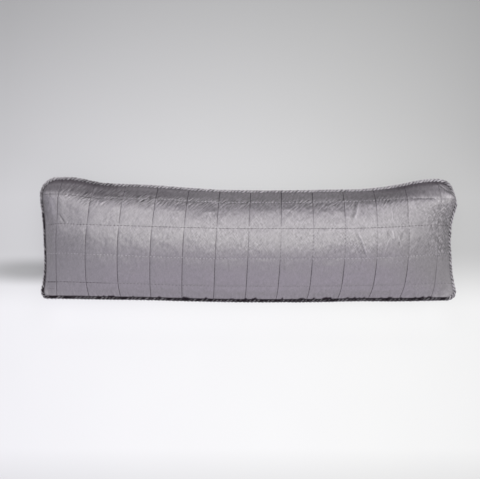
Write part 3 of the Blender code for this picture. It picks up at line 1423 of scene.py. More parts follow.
    def gathers(self, along: Array, up: Array) -> Array:
        """How strong the fine gathers are beside the upper line, in patches.

        Args:
            along: squares along.
            up: squares up.

        Returns:
            0 to about 1.
        """
        band = PUCKERS[0]
        away = (up - band.up) * self.form.square
        above = (1.7 + 1.7 * ramp(4.0, 2.0, along)) * band.above
        reach = np.where(away < 0, 0.8 * band.below, above)
        fade = np.exp(-((np.abs(away) / reach) ** 2))
        ends = ramp(0.3, 1.0, along) * ramp(12.4, 10.4, along)
        return fade * ends * (0.7 + 0.5 * soft_noise(along, up, 0.35, 67))

    def rolls(self, along: Array, up: Array) -> Array:
        """Height of the rolls at the rim: height exp(-((place - middle) / reach)^2) for each.

        Args:
            along: squares along.
            up: squares up.

        Returns:
            The height above the smooth face.
        """
        middle = curve(EDGE_ROLLS, "up", along)
        height = curve(EDGE_ROLLS, "height", along)
        reach = np.where(up > middle, self.roll_reach, self.roll_inward)
        total = height * np.exp(-(((up - middle) / reach) ** 2))
        for side, from_end in (("left", along), ("right", self.form.squares_along - along)):
            bell = np.exp(-(((from_end - self.end_roll_along) / self.end_roll_reach) ** 2))
            total = total + curve(END_ROLLS, side, up) * bell
        for swell in SWELLS:
            away = ((along - swell.along) / swell.reach_along) ** 2
            away = away + ((up - swell.up) / swell.reach_up) ** 2
            total = total + swell.height * np.exp(-away)
        return total

    def crinkle(self, along: Array, up: Array) -> Array:
        """Height of the cloth's crinkle: fine strokes over slow waves, deepest at the right end.

        Args:
            along: squares along.
            up: squares up.

        Returns:
            The height above the smooth face.
        """
        x, y = along * self.form.square, up * self.form.square
        fine = sum(waves.lift(x, y) for waves in CRINKLE)
        fine = (0.45 + CRINKLED_ROWS.value(along, up)) * fine
        strokes = END_CRINKLE.value(along, up) * END_STROKES.lift(x, y)
        slow = SLOW_WAVES.lift(x, y) * ramp(0.2, 1.0, self.form.from_seam(along, up))
        return fine + slow + strokes

    def face_points(self, along: Array, up: Array) -> Array:
        """Points of the quilted face: the smooth form, the settled cloth, then quilting and folds.

        Args:
            along: squares along.
            up: squares up.

        Returns:
            Grid of points.
        """
        rest_along, rest_up = self.places(self.rest_steps)
        start = self.form.face(rest_along, rest_up)
        near = 0.5 / self.rest_steps
        off_cross, off_row = self.form.to_line(rest_along), self.form.to_line(rest_up)
        on_line = np.minimum(np.abs(off_cross), np.abs(off_row)) < near
        on_rim = self.form.from_seam(rest_along, rest_up) < near
        held = np.where(on_rim, 1.0, np.where(on_line, self.line_hold, 0.0))
        stir = self.stir * soft_noise(rest_along, rest_up, 0.14, 31) * (held < 1)
        moved = self.settled(start + grid_normals(start) * stir[..., None], held)
        rows = np.linspace(0, moved.shape[0] - 1, along.shape[0])
        columns = np.linspace(0, moved.shape[1] - 1, along.shape[1])
        points = self.form.face(along, up) + resampled(moved, rows, columns)
        lift = self.quilting(along, up) + self.puckers(along, up) + self.crinkle(along, up)
        lift = lift + self.rolls(along, up)
        inside = ramp(0.0, 0.12, self.form.from_seam(along, up))
        points = points + grid_normals(points) * (lift * inside)[..., None]
        return points + self.over_seam(along, up)

    def back_points(self, along: Array, up: Array) -> Array:
        """Points of the plain back: flat where it rests, with soft folds towards the seam.

        Args:
            along: squares along.
            up: squares up.

        Returns:
            Grid of points.
        """
        points = self.form.back(along, up)
        x, y = along * self.form.square, up * self.form.square
        from_seam = self.form.from_seam(along, up)
        phase = 2 * math.pi * (x + y) / self.back_pitch
        gather = np.sin(phase + 3 * soft_noise(x, y, 0.04, 71))
        gather = gather * (0.5 + 0.5 * soft_noise(x, y, 0.03, 72)) * ramp(0.6, 0.05, from_seam)
        waves = soft_noise(x, 0.6 * y, 0.05, 73)
        lift = self.back_gather * gather + self.back_waves * waves
        lift = lift * ramp(0.0, 0.15, from_seam) * ramp(0.0, 0.03, points[..., 2])
        points = points - grid_normals(points) * lift[..., None]
        points[..., 2] = np.clip(points[..., 2], 0, None)
        return points

    def build(self) -> Piece:
        """Makes the cushion as one closed piece and dresses it.

        Returns:
            The finished cushion.
        """
        along, up = self.places(self.face_steps)
        self.face_grid = self.face_points(along, up)
        coarse = (slice(None, None, 2), slice(None, None, 2))
        back = self.back_points(along[coarse], up[coarse])
        inner = np.zeros(back.shape[:2], dtype=bool)
        inner[1:-1, 1:-1] = True

        index = np.arange(along.size).reshape(along.shape)
        back_index = index[coarse].copy()
        back_index[inner] = index.size + np.arange(inner.sum())
        points = np.concatenate((self.face_grid.reshape(-1, 3), back[inner]))
        faces = grid_quads(index) + self.back_faces(index, back_index)
        piece = link_mesh("quilted_cushion", points, faces)

        cloth = np.stack((along, up, np.zeros_like(along)), axis=-1) * self.form.square
        store(piece, "cloth", np.concatenate((cloth.reshape(-1, 3), cloth[coarse][inner] + UP)))
        worn = ramp(0.3, 0.0, self.form.from_seam(along, up))
        # The lines' values are painted shade, and the folds', puckers' and gathers' carry painted
        # highlights and shade too.
        for name, values, rest in (
            ("fold", self.folds(along, up), 0.0),
            ("painted_line_shade", self.painted_line_shade(along, up), 0.0),
            ("crinkle", self.crinkle_share(along, up), 0.5),
            ("pucker", self.puckers(along, up) / PUCKERS[0].height, 0.0),
            ("gather", self.gathers(along, up), 0.0),
            ("worn", worn, 0.0),
        ):
            store(piece, name, values.reshape(along.size, *values.shape[2:]), rest)

        piece.data.materials.append(SatinFinish("quilted_satin_face", Weave.CRINKLED).material())
        piece.data.materials.append(SatinFinish("plain_satin_back", Weave.PLAIN).material())
        first_back = (along.shape[0] - 1) * (along.shape[1] - 1)
        slots = (np.arange(len(piece.data.polygons)) >= first_back).astype(np.int32)
        piece.data.polygons.foreach_set("material_index", slots)
        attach(piece, "root")
        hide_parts("cushion")
        return piece

    def painted_line_shade(self, along: Array, up: Array) -> Array:
        """How strong the painted shade of the lines and the seam is, for the material.

        Args:
            along: squares along.
            up: squares up.

        Returns:
            Strength of the painted shade in the cross lines, in the lines along and in the seam,
            on the last axis.
        """
        # Painted shade of the lines that cross the pillow, then of the lines along it.
        left, right = (curve(PAINTED_CROSS_LINE_SHADE, side, up) for side in ("left", "right"))
        cross = left + (right - left) * ramp(4.0, 9.0, along)
        for patch in CROSS_PATCHES:
            cross = cross * (1 + patch.value(along, up))
        rows = [line for line in THREAD_LINES if line.up is not None]
        row = np.interp(up, [line.up for line in rows], [line.painted_shade for line in rows])
        row = row * (0.5 + 0.5 * np.maximum(ramp(0.8, 2.5, along), ramp(3.0, 3.3, up)))
        row = row + np.maximum(*(patch.value(along, up) for patch in UPPER_LINE_ENDS))
        row = row * (1 + UPPER_LINE_LOSS.value(along, up))
        return np.stack((cross, row, self.painted_seam_shade(along, up)), axis=-1)

    def painted_seam_shade(self, along: Array, up: Array) -> Array:
        """Painted shade where the cloth meets the seam: in notches at the lower edge, in bands at
        the upper.

        Args:
            along: squares along.
            up: squares up.

        Returns:
            0 to 1 in the seam.
        """
        x, y = along * self.form.square, up * self.form.square
        # Painted shade: notches where small puckers would shade the lower seam, and bands beside
        # the left end, below the upper seam and round its left corner.
        notch = np.clip(soft_noise(x, y * 0.2, 0.008, 81) - 0.10, 0.0, 1.0)
        notch = notch * (1 - 0.35 * ramp(9.0, 11.5, along)) * (0.2 + 0.8 * ramp(1.0, 2.6, along))
        lower = ramp(0.0050 + 0.0090 * notch, 0.0026 + 0.0060 * notch, y)
        lower = lower * ramp(12.98, 12.80, along)
        side = ramp(0.0072, 0.0034, x) * (0.9 - 0.3 * ramp(2.4, 3.2, up) * ramp(3.7, 3.4, up))
        from_top = (self.form.squares_up - up) * self.form.square
        near_end = np.maximum(ramp(3.6, 1.6, along), ramp(9.6, 11.6, along))
        narrow = ramp(0.018 + 0.012 * ramp(12.6, 12.2, along), 0.006, from_top)
        towards_end = np.maximum(ramp(5.5, 3.5, along), ramp(9.0, 10.6, along))
        towards_end = towards_end * ramp(12.7, 12.3, along)
        wide = (0.24 + 0.12 * ramp(2.8, 1.6, along)) * ramp(0.056, 0.034, from_top)
        corner = 0.85 * ramp(0.0070, 0.0030, from_top) * ramp(1.5, 0.7, along)
        shades = (lower, side, 0.72 * narrow * near_end, wide * towards_end, corner)
        return np.max(shades, axis=0)

    def folds(self, along: Array, up: Array) -> Array:
        """The listed folds, for the material: the fold that shows most at each place wins.

        Args:
            along: squares along.
            up: squares up.

        Returns:
            Distance over width, height and painted highlight or shade on the last axis.
        """
        result = np.zeros((*along.shape, 3))
        for crease in CREASES:
            off, share = crease.place(along, up, self.form.square)
            new = np.stack((off, share * crease.height, share * crease.tone), axis=-1)
            shows = np.abs(new[..., 2]) * np.exp(-(off**2))
            wins = shows > np.abs(result[..., 2]) * np.exp(-(result[..., 0] ** 2))
            result = np.where(wins[..., None], new, result)
        return result

    def crinkle_share(self, along: Array, up: Array) -> Array:
        """How strong the fine crinkle is: most above the middle and at the right end, in patches.

        Args:
            along: squares along.
            up: squares up.

        Returns:
            0 to about 3.
        """
        share = 0.58 + sum(patch.value(along, up) for patch in CRINKLE_PATCHES)
        share = share + 0.3 * np.exp(-(((up - 3.3) / 0.30) ** 2))
        share = share * (0.78 + 0.22 * ramp(8.5, 10.5, along))
        patches = 1 + 0.35 * soft_noise(along, up, 0.45, 65)
        return share * patches + END_CRINKLE_SHARE.value(along, up)

    def over_seam(self, along: Array, up: Array) -> Array:
        """Shift of the cloth beside the seam, so that it swells over the cord.

        The shift points out of the outline and up, and fades as exp(-(distance / reach)^2).

        Args:
            along: squares along.
            up: squares up.

        Returns:
            The shift of each point.
        """
        smooth = self.form.face(along, up)
        flat = smooth * (1.0 - UP)
        x_way, y_way = unit(np.gradient(flat, axis=0)), unit(np.gradient(flat, axis=1))
        ends = (along, self.form.squares_along - along, up, self.form.squares_up - up)
        left, right, low, high = (
            np.exp(-((end * self.form.square / self.seam_fade) ** 2))[..., None] for end in ends
        )
        out = x_way * (right - left) + y_way * (high - low)
        length = np.maximum(np.linalg.norm(out, axis=-1, keepdims=True), 1.0)
        near = np.clip(left + right + low + high, 0, 1)
        return self.seam_reach * out / length + self.seam_lift * near * UP

    def back_faces(self, index: Array, back_index: Array) -> list:
        """Faces of the back: quads that point down, with one more point on each rim edge.

        Args:
            index: point numbers of the face's grid.
            back_index: point numbers of the back's grid, at half the face's steps.

        Returns:
            The faces, as runs of point numbers.
        """
        a, b = back_index[:-1, :-1], back_index[:-1, 1:]
        d, c = back_index[1:, :-1], back_index[1:, 1:]
        left, high, right, low = np.full((4, *a.shape), -1)
        left[0], right[-1] = index[0, 1::2], index[-1, 1::2]
        low[:, 0], high[:, -1] = index[1::2, 0], index[1::2, -1]
        runs = np.stack((a, left, b, high, c, right, d, low), axis=-1).reshape(-1, 8)
        return [run[run >= 0].tolist() for run in runs]


# ---------------------------------------------------------------- stitching


@dataclass
class Stitching:
    """Running stitches along every quilting line, which dive into the cloth at both ends.

    Args:
        cushion: the built cushion that the stitches hold.
        pitch: distance from one stitch to the next.
        share: length of a stitch, as a share of the pitch.
        radius: radius of the thread.
        dive: depth of a stitch's ends below the cloth.
        sides: sides of the thread.
        rings: rings along a stitch.
        ring_step: distance from one ring to the next on the yarn's map.
    """

    cushion: QuiltedCushion
    pitch: float = 0.0112
    share: float = 0.60
    radius: float = 0.00075
    dive: float = 0.0014
    sides: int = 6
    rings: int = 6
    ring_step: float = 0.0015

    def stitches(self, path: Array, normals: Array, line: ThreadLine, seed: int) -> Array:
        """Points of one line's stitches: tubes that rise as sin(pi t)^0.5 and dive at both ends.

        Args:
            path: points of the line, from seam to seam.
            normals: the cloth's normals at those points.
            line: how its thread shows.
            seed: seed of the stitches' small differences.

        Returns:
            Points as stitch, ring, side and component.
        """
        distance = travelled(path)
        count = int((distance[-1] - self.pitch) / self.pitch)
        random = np.random.default_rng(seed)
        start = (np.arange(count) + 0.5) * self.pitch + random.normal(0, 0.0006, count)
        length = self.pitch * self.share * random.uniform(0.8, 1.15, count)
        share = np.linspace(0, 1, self.rings)
        at = start[:, None] + length[:, None] * share
        centre, upward = (read_path(values, distance, at) for values in (path, normals))
        rise = (line.lift + self.dive) * np.sin(np.pi * share) ** 0.5 - self.dive
        centre = centre + upward * rise[:, None]
        tangent = unit(np.gradient(centre, axis=1))
        beside = unit(np.cross(upward, tangent))
        above = np.cross(tangent, beside)
        angle = (2 * np.pi * np.arange(self.sides) / self.sides)[:, None]
        turn = np.cos(angle) * beside[:, :, None] + np.sin(angle) * above[:, :, None]
        radius = self.radius * random.uniform(0.85, 1.15, count)
        return centre[:, :, None] + radius[:, None, None, None] * turn

    def build(self) -> Piece:
        """Makes all the stitches as one piece and dresses it.

        Returns:
            The finished stitching.
        """
        grid, steps = self.cushion.face_grid, self.cushion.face_steps
        normals = grid_normals(grid)
        first = round(self.cushion.form.first_line * steps)
        tubes, shades = [], []
        for number, line in enumerate(THREAD_LINES):
            if line.up is None:
                across = range(first, grid.shape[0], steps)
                paths = [(grid[column], normals[column]) for column in across]
            else:
                row = round(line.up * steps)
                paths = [(grid[:, row], normals[:, row])]
            for turn, (path, normal) in enumerate(paths):
                tubes.append(self.stitches(path, normal, line, 100 * number + turn))
                place = np.linspace(0, 1, len(tubes[-1]))
                # Painted shade: the thread is darker towards its ends.
                fade = line.left_fade * ramp(0.20, 0.10, place)
                fade = fade + line.right_fade * ramp(0.83, 0.88, place)
                shades.append(np.clip(line.shade + fade, 0, 1))
        tube = np.concatenate(tubes)
        index = np.arange(tube[..., 0].size).reshape(tube.shape[:3])
        beside = np.roll(index, -1, axis=2)
        walls = np.stack((index[:, :-1], beside[:, :-1], beside[:, 1:], index[:, 1:]), axis=-1)
        faces = walls.reshape(-1, 4).tolist() + index[:, -1].tolist() + index[:, 0, ::-1].tolist()
        piece = link_mesh("quilting_stitches", tube.reshape(-1, 3), faces)

        points = np.empty(len(piece.data.loops), dtype=np.int32)
        piece.data.loops.foreach_get("vertex_index", points)
        side, ring = points % self.sides, points // self.sides
        store_map(piece, "yarn", np.stack((ring * self.ring_step, side / self.sides), axis=-1))
        store(piece, "painted_shade", np.repeat(np.concatenate(shades), self.rings * self.sides))
        thread = YarnFinish("sewing_thread", light=(0.50, 0.48, 0.51), metallic=0.0)
        piece.data.materials.append(thread.material())
        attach(piece, "root")
        return piece


# ---------------------------------------------------------------- cord


# Where painted shade darkens the whole cord, by x and y in metres.
PAINTED_CORD_SHADE_PATCHES = (
    SoftPatch(0.14, ((-0.28, -0.44),), ((0.10, 0.16),)),
    SoftPatch(0.12, ((0.60, 0.66),), ((-0.17, -0.10),)),
)

# One more place of painted shade on the upper side: how much darker, and its middle x and reach in
# metres.
PAINTED_CORD_SHADE_SPOT = (0.20, -0.53, 0.08)


@dataclass
class TwistedCord:
    """A three-strand twisted cord, sewn round the seam.

    Args:
        form: the pillow's form, whose seam the cord follows.
        radius: radius over the strands' crests.
        clearance: gap between the seam and the cord.
        lay: length in which a strand goes round once.
        strands: number of strands.
        strand_offset: distance of a strand's centre from the cord's.
        strand_radius: radius of a strand.
        steps: rings in one lay.
        points: points across a strand.
        path_steps: steps in which each side of the seam is read.
        turn_wander: how far a strand strays round the cord, in radians.
        radius_wander: how much its radius changes, as a share.
        smooth_spots: x and y of the places where the grooves' painted shade is weaker.
        smooth_reach: reach of those places.
        smooth_share: share of the grooves' painted shade that is lost there.
        groove_shade: how dark the painted shade in a groove is, from 0 to 1.
    """

    form: PillowForm
    radius: float = 0.0065
    clearance: float = 0.0004
    lay: float = 0.0360
    strands: int = 3
    strand_offset: float = 0.0036
    strand_radius: float = 0.00318
    steps: int = 30
    points: int = 8
    path_steps: int = 900
    turn_wander: float = 0.40
    radius_wander: float = 0.10
    smooth_spots: tuple = ((-0.645, 0.165), (-0.56, 0.19), (0.640, 0.150))
    smooth_reach: float = 0.075
    smooth_share: float = 0.55
    groove_shade: float = 0.85

    def outward(self, path: Array) -> Array:
        """Unit normals in plan of a closed path that runs anticlockwise from above."""
        tangent = np.roll(path, -1, axis=0) - np.roll(path, 1, axis=0)
        return unit(np.stack((tangent[:, 1], -tangent[:, 0], np.zeros(len(path))), axis=-1))

    def centre_line(self) -> tuple[Array, float]:
        """The seam moved out by the cord's radius, read at equal steps of a whole number of lays.

        Returns:
            The closed line's points, and its length.
        """
        edge = np.linspace(0.0, 1.0, self.path_steps, endpoint=False)
        zero, one = np.zeros_like(edge), np.ones_like(edge)
        along = np.concatenate((edge, one, 1 - edge, zero)) * self.form.squares_along
        up = np.concatenate((zero, edge, one, 1 - edge)) * self.form.squares_up
        x, y = self.form.plan(along, up)
        seam = np.stack((x, y, self.form.seam_z(along, up)), axis=-1)
        path = seam + self.outward(seam) * (self.radius + self.clearance)
        closed = np.concatenate((path, path[:1]))
        distance = travelled(closed)
        rings = self.steps * round(distance[-1] / self.lay)
        at = np.linspace(0.0, distance[-1], rings, endpoint=False)
        return read_path(closed, distance, at), distance[-1]

    def surface(self, centre: Array) -> Array:
        """Points of the strands, which turn along the cord.

        The radius across each strand is a cos(d) + sqrt(b^2 - a^2 sin^2(d)).

        Args:
            centre: the closed centre line.

        Returns:
            Points as ring, side and component.
        """
        rings, sides = len(centre), self.strands * self.points
        ring, side = np.meshgrid(np.arange(rings), np.arange(sides), indexing="ij")
        across = (side % self.points) / self.points * 2 - 1
        delta = across * math.pi / self.strands
        bulge = self.strand_radius**2 - (self.strand_offset * np.sin(delta)) ** 2
        radius = self.strand_offset * np.cos(delta) + np.sqrt(bulge)
        angle = 2 * np.pi * (side / sides + ring / self.steps)
        angle = angle + self.turn_wander * self.unevenness(ring, 0 * side, 94)
        radius = radius * (1 + self.radius_wander * self.unevenness(ring, side, 91))
        outward = self.outward(centre)[:, None]
        spokes = np.cos(angle)[..., None] * outward + np.sin(angle)[..., None] * UP
        return centre[:, None] + radius[..., None] * spokes

    def unevenness(self, ring: Array, side: Array, seed: int) -> Array:
        """Slow noise along each strand, which fades out where the cord's two ends meet.

        Args:
            ring: ring number of each point.
            side: side number of each point.
            seed: seed of the noise.

        Returns:
            A value from -1 to 1.
        """
        strand = side // self.points
        noise = soft_noise(ring / self.steps, 7.0 * strand, 0.42, seed)
        from_ends = np.minimum(ring - ring.min(), ring.max() - ring) / self.steps
        return noise * ramp(0.0, 0.5, from_ends)

    def seam_shade(self, centre: Array, shape: Array) -> Array:
        """Painted shade on the cord's inner top side, as the lower and left seam shade it.

        Args:
            centre: the closed centre line.
            shape: points of the strands, as ring, side and component.

        Returns:
            0 to 1 at each point.
        """
        outward = self.outward(centre)
        away = shape - centre[:, None]
        reach = (away * outward[:, None]).sum(axis=-1) / self.radius
        lower, left = ramp(0.3, 0.9, -outward[:, 1]), ramp(0.3, 0.9, -outward[:, 0])
        left = left * ramp(0.26, -0.02, centre[:, 1])
        above = ramp(-0.9, -0.3, away[..., 2] / self.radius)
        lower = lower * ramp(0.662, 0.636, centre[:, 0])
        near_corner = ramp(-0.57, -0.64, centre[:, 0]) * ramp(-0.09, -0.15, centre[:, 1])
        reach = reach + 0.26 * near_corner[:, None]
        under_face = above * ramp(1.05, 0.55, reach) * lower[:, None]
        beside_face = above * ramp(0.80, 0.25, reach) * (left + 0.15)[:, None]
        return np.clip(under_face + beside_face, 0, 1)

    def shade(self, ring: Array, side: Array, centre: Array, shape: Array) -> Array:
        """Painted shade on the cord: the deeper of its grooves' and the seam's, with random dull
        places and patches of painted shade.

        Args:
            ring: ring number of each point.
            side: side number of each point.
            centre: the closed centre line.
            shape: points of the strands, as ring, side and component.

        Returns:
            0 to 1 at each point.
        """
        middle = 1 - np.abs((side % self.points) / self.points * 2 - 1)
        groove = self.groove_shade * (1 - ramp(0.05, 0.75, middle))
        groove = groove * (0.85 + 0.35 * self.unevenness(ring, side, 93))
        x, y = centre[ring, 0], centre[ring, 1]
        for spot_x, spot_y in self.smooth_spots:
            bell = np.exp(-((np.hypot(x - spot_x, y - spot_y) / self.smooth_reach) ** 2))
            groove = groove * (1 - self.smooth_share * bell)
        # Random dull places, and patches of painted shade along the cord.
        dull_and_shade = 0.35 * np.abs(self.unevenness(ring, side, 92))
        dull_and_shade = dull_and_shade + sum(patch.value(x, y) for patch in PAINTED_CORD_SHADE_PATCHES)
        strength, middle_x, reach = PAINTED_CORD_SHADE_SPOT
        dull_and_shade = dull_and_shade + strength * np.exp(-(((x - middle_x) / reach) ** 2)) * ramp(0.10, 0.16, y)
        # On the left, the seam's painted shade lets the grooves show and varies in patches.
        on_left = ramp(-0.60, -0.64, x)
        patches = 0.30 * self.unevenness(ring, side, 95) - 0.02
        twist = 0.74 + (0.34 + 0.16 * on_left) * groove + on_left * patches
        in_seam = self.seam_shade(centre, shape).ravel() * twist
        return np.clip(np.maximum(groove, in_seam) + dull_and_shade, 0, 1)

    def build(self) -> Piece:
        """Makes the cord as one closed ring and dresses it.

        Returns:
            The finished cord.
        """
        centre, length = self.centre_line()
        shape = self.surface(centre)
        rings, sides = shape.shape[:2]
        index = np.arange(rings * sides).reshape(rings, sides)
        after, beside = np.roll(index, -1, axis=0), np.roll(index, -1, axis=1)
        across = np.roll(after, -1, axis=1)
        quads = np.stack((index, after, across, beside), axis=-1).reshape(-1, 4)
        piece = link_mesh("twisted_cord", shape.reshape(-1, 3), quads.tolist())

        ring, side = np.divmod(np.arange(rings * sides), sides)
        near, far = ring * length / rings, (ring + 1) * length / rings
        low, high = side / self.points, (side + 1) / self.points
        corners = ((near, low), (far, low), (far, high), (near, high))
        store_map(piece, "yarn", np.stack([np.stack(pair, -1) for pair in corners], axis=1))
        store(piece, "painted_shade", self.shade(ring, side, centre, shape))
        piece.data.materials.append(YarnFinish("cord_yarn").material())
        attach(piece, "root")
        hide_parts("piping_cord")
        return piece


# ---------------------------------------------------------------- studio


@dataclass(frozen=True)
class Softbox:
    """A soft rectangular light that faces the pillow.

    Args:
        azimuth: direction it stands in, in degrees from +X towards +Y.
        from_zenith: angle from straight up, in degrees.
        distance: distance from the pillow's middle.
        width: its width.
        height: its height.
        radiance: brightness of its face.
    """

    azimuth: float
    from_zenith: float
    distance: float
    width: float
    height: float
    radiance: float

    def build(self) -> None:
        """Makes the light and points it at the pillow's middle."""
        data = bpy.data.lights.new("key", "AREA")
        data.shape = "RECTANGLE"
        data.size, data.size_y = self.width, self.height
        data.energy = self.radiance * math.pi * self.width * self.height
        light = link_object("key", data)
        turn, lean = math.radians(self.azimuth), math.radians(self.from_zenith)
        light.location = (
            self.distance * math.sin(lean) * math.cos(turn),
            self.distance * math.sin(lean) * math.sin(turn),
            self.distance * math.cos(lean),
        )
        light.rotation_euler = (lean, 0.0, turn + math.pi / 2)
        light.visible_camera = False


KEY_LIGHT = Softbox(90.0, 50.0, 2.6, 4.4, 1.8, 0.45)


@dataclass(frozen=True)
class TentLight:
    """Brightness of the light tent in one direction.

    Args:
        angle: angle from straight up towards +Y, in degrees.
        brightness: brightness of the tent there.
        violet: 0 for neutral light, 1 for faintly violet, and below 0 for faintly yellow.
    """

    angle: float
    brightness: float
    violet: float


TENT = (
    TentLight(-90.0, 1.27, 2.0),
    TentLight(-60.0, 1.22, 1.7),
    TentLight(-45.0, 1.10, 1.4),
    TentLight(-35.0, 1.12, 1.0),
    TentLight(-25.0, 1.34, 0.6),
    TentLight(-12.0, 1.62, 0.2),
    TentLight(0.0, 2.02, -0.3),
    TentLight(15.0, 2.62, -0.6),
    TentLight(35.0, 1.96, -0.4),
    TentLight(56.0, 1.55, 0.0),
    TentLight(68.0, 1.08, 0.8),
    TentLight(76.0, 0.52, 2.0),
    TentLight(84.0, 0.14, 3.0),
    TentLight(90.0, 0.10, 3.0),
)


@dataclass(frozen=True)
class TentSide:
    """How the tent changes from its left side to its right.

    Args:
        way: the direction's part along the pillow, from -1 to 1.
        share: share that the bands of TENT take there.
        side: brightness of the tent's side, which takes the rest.
    """

    way: float
    share: float
    side: float


TENT_SIDES = (
    TentSide(-1.00, 0.00, 0.86),
    TentSide(-0.80, 0.04, 0.88),
    TentSide(-0.60, 0.08, 0.92),
    TentSide(-0.35, 0.21, 0.94),
    TentSide(-0.10, 0.82, 0.95),
    TentSide(0.10, 1.00, 0.95),
    TentSide(0.30, 0.76, 0.97),
    TentSide(0.50, 0.28, 0.96),
    TentSide(0.75, 0.09, 0.95),
    TentSide(1.00, 0.00, 0.95),
)


# The ramps hold colours up to 1, so the tent's brightness is kept over this strength.
TENT_STRENGTH = 3.0

# How much red, green and blue a violet of 1 adds.
VIOLET = (-0.004, -0.035, 0.035)


@dataclass(frozen=True)
class Studio:
    """The camera, the floor, the lights and the room's even light.

    Args:
        target: the point that the camera looks at.
        distance: distance of the camera from it.
        tilt: angle of the camera from straight above, in degrees.
        lens: focal length, in millimetres.
        floor_side: side of the floor.
        side_dimming: how fast the floor's painted light dims sideways, for each square metre.
        floor_front: y at which the floor's bright front starts and is complete, with its shares.
        front_glow: glow of the floor in front.
        floor_back: y and glow of the floor just behind the pillow, and far behind it.
        strip_y: y of the strip of painted light in front of the pillow.
        strip_glow: glow that the strip adds.
        shadow_spot: middle of the painted soft shadow off the left end.
        shadow_shape: how fast that shadow fades, along x and y.
        shade_half: half the sides of the painted shade under the pillow.
        shade_fade: how fast the painted shade fades beyond them, along x and y.
        back_width: how far the tent's bands spread sideways at the back, over the front's.
        left_tint: colour of the tent's left side.
        left_dip: share of its brightness that the left side keeps in its middle.
    """

    target: tuple = (-0.0262, -0.001, 0.085)
    distance: float = 2.25
    tilt: float = 4.5
    lens: float = 51.45
    floor_side: float = 14.0
    side_dimming: float = 0.20
    floor_front: tuple = (-0.02, -0.24, 0.0, 1.0)
    front_glow: float = 0.72
    floor_back: tuple = (0.15, 0.85, 0.50, 0.245)
    strip_y: float = -0.21
    strip_glow: float = 0.055
    shadow_spot: tuple = (-0.740, -0.100, 0.0)
    shadow_shape: tuple = (3.8, 18.5, 0.0)
    shade_half: tuple = (0.50, 0.06)
    shade_fade: tuple = (8.0, 11.0)
    back_width: float = 0.46
    left_tint: tuple = (0.99, 0.98, 1.06)
    left_dip: float = 0.75

    def camera(self) -> None:
        """Makes the camera, above the pillow and leaning a little towards its lower edge."""
        data = bpy.data.cameras.new("camera")
        data.lens, data.sensor_width = self.lens, 36.0
        data.dof.use_dof = False
        camera = link_object("camera", data)
        tilt = math.radians(self.tilt)
        x, y, z = self.target
        back, rise = self.distance * math.sin(tilt), self.distance * math.cos(tilt)
        camera.location = (x, y - back, z + rise)
        camera.rotation_euler = (tilt, 0.0, 0.0)
        bpy.context.scene.camera = camera

    def floor_glow(self, place: Value) -> Value:
        """Painted light of the floor's glow: brighter in front, dimmer behind, at the sides and
        under the pillow.

        Args:
            place: place on the floor, in metres.

        Returns:
            The glow.
        """
        x, y, _ = place.parts()
        dim = (x * x * self.side_dimming).span((0.0, 0.14, 0.0, 0.14))
        dim = dim * y.span((0.30, 0.85, 1.0, 0.60))
        slope = x.span((-0.80, 0.80, -0.036, 0.036)) * y.span((0.40, 0.80, 1.0, 0.35))
        behind = y.span(self.floor_back) - dim - slope
        ahead = dim * -0.4 + self.front_glow
        glow = behind + y.span(self.floor_front, "SMOOTHSTEP") * (ahead - behind)
        # Painted light: a brighter strip in front of the pillow.
        off_strip = (y - self.strip_y).math("ABSOLUTE")
        strip = off_strip.span((0.02, 0.13, self.strip_glow, 0.0), "SMOOTHSTEP")
        strip_ends = x.math("ABSOLUTE").span((0.60, 0.72, 1.0, 0.0), "SMOOTHSTEP")
        glow = glow + strip * strip_ends
        # Painted shadow off the left end.
        spot = place.nodes.add("VectorMath", {0: place, 1: self.shadow_spot}, operation="SUBTRACT")
        spot = {0: spot.stretched(self.shadow_shape)}
        spot = place.nodes.add("VectorMath", spot, "Value", operation="LENGTH")
        glow = glow * spot.span((0.15, 1.10, 0.40, 1.0), "SMOOTHSTEP")
        glow = glow * y.span((-0.69, -0.81, 1.0, 0.82))
        # Painted shade under the pillow.
        beyond_x, beyond_y = (
            (part.math("ABSOLUTE") - half).most(0.0) * fade
            for part, half, fade in zip((x, y), self.shade_half, self.shade_fade)
        )
        glow = glow * beyond_x.most(beyond_y).span((0.0, 1.0, 0.15, 1.0), "SMOOTHSTEP")
        mottle = place.stretched((3.0, 3.0, 3.0)).noise(2.0)
        return glow * mottle.span((0.2, 0.8, 0.99, 1.01))

    def floor(self) -> None:
        """Makes the pale floor, whose glow is painted light, with a painted shadow and painted
        shade.
        """
        side = self.floor_side / 2
        points = np.array(((-side, -side, 0), (side, -side, 0), (side, side, 0), (-side, side, 0)))
        floor = link_mesh("floor", points, [[0, 1, 2, 3]], smooth=False)
        material = bpy.data.materials.new("pale_floor")
        nodes = Nodes(material)
        place = nodes.add("TexCoord", {}, "Object")
        to_left = place.parts()[0].span((-0.80, 0.40, 1.0, 0.0))
        tint = to_left.mix((1.0, 1.0, 1.0, 1.0), (0.995, 0.985, 1.04, 1.0))
        glow = {"Emission Color": tint, "Emission Strength": self.floor_glow(place)}
        nodes.feed(nodes.shader, {"Base Color": (0.17, 0.17, 0.17, 1.0), **glow})
        nodes.feed(nodes.shader, {"Roughness": 0.9, "Specular IOR Level": 0.1})
        floor.data.materials.append(material)

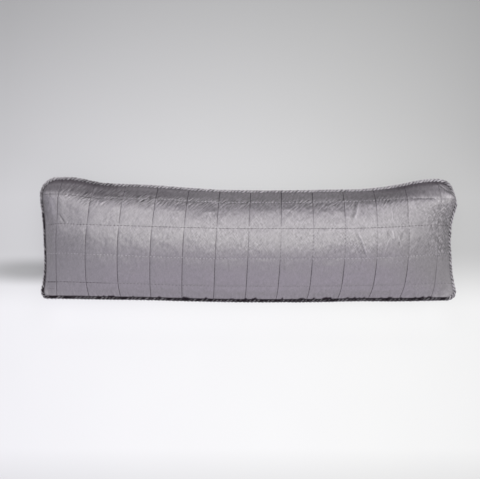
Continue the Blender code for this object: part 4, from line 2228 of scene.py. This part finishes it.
    def build(self) -> None:
        """Makes everything round the pillow."""
        self.camera()
        self.floor()
        KEY_LIGHT.build()
        self.tent()
        bpy.context.scene.view_settings.view_transform = "Standard"

    def tent(self) -> None:
        """Makes the light tent round the pillow.

        A direction's brightness is side + share * (band - side), where the band goes by the angle
        atan(y / z) of the direction, and the side and its share by the direction's x.
        """
        world = bpy.data.worlds.new("light_tent")
        nodes = Nodes(world)
        x, y, z = nodes.add("TexCoord", {}, "Generated").parts()
        angle = y.math("ARCTAN2", z)
        turn = angle.span((-math.pi / 2, math.pi / 2, 0.0, 1.0))
        wide = angle.span((math.radians(10), math.radians(42), 1.0, self.back_width))
        across = (x * wide).span((-1.0, 1.0, 0.0, 1.0))
        bands = [
            tuple(t.brightness / TENT_STRENGTH * (1 + part * t.violet) for part in VIOLET)
            for t in TENT
        ]
        band = turn.stops([t.angle / 180 + 0.5 for t in TENT], bands)
        places = [t.way / 2 + 0.5 for t in TENT_SIDES]
        share = across.stops(places, [(t.share,) * 3 for t in TENT_SIDES])
        sides = [
            tuple(t.side / TENT_STRENGTH * (part if t.way < 0 else 1.0) for part in self.left_tint)
            for t in TENT_SIDES
        ]
        off_middle = (angle - math.radians(2)).math("ABSOLUTE")
        dip = off_middle.span((0.0, math.radians(46), self.left_dip, 1.0), "SMOOTHSTEP")
        dip = x.span((-0.25, -0.60, 0.0, 1.0)) * (dip - 1.0) + 1.0
        colour = share.mix(across.stops(places, sides).scaled(dip), band)
        nodes.feed(nodes.shader, {"Color": colour, "Strength": TENT_STRENGTH})
        bpy.context.scene.world = world


# ---------------------------------------------------------------- building


def report(piece: Piece) -> None:
    """Logs a piece's name and how many triangles it has."""
    piece.data.calc_loop_triangles()
    LOG.info("%s: %d triangles", piece.name, len(piece.data.loop_triangles))


def main() -> None:
    """Builds the studio and the pillow's pieces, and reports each."""
    logging.basicConfig(level=logging.INFO, format="%(name)s: %(message)s")
    Studio().build()
    form = PillowForm()
    cushion = QuiltedCushion(form)
    report(cushion.build())
    report(Stitching(cushion).build())
    report(TwistedCord(form).build())


if __name__ == "__main__":
    main()
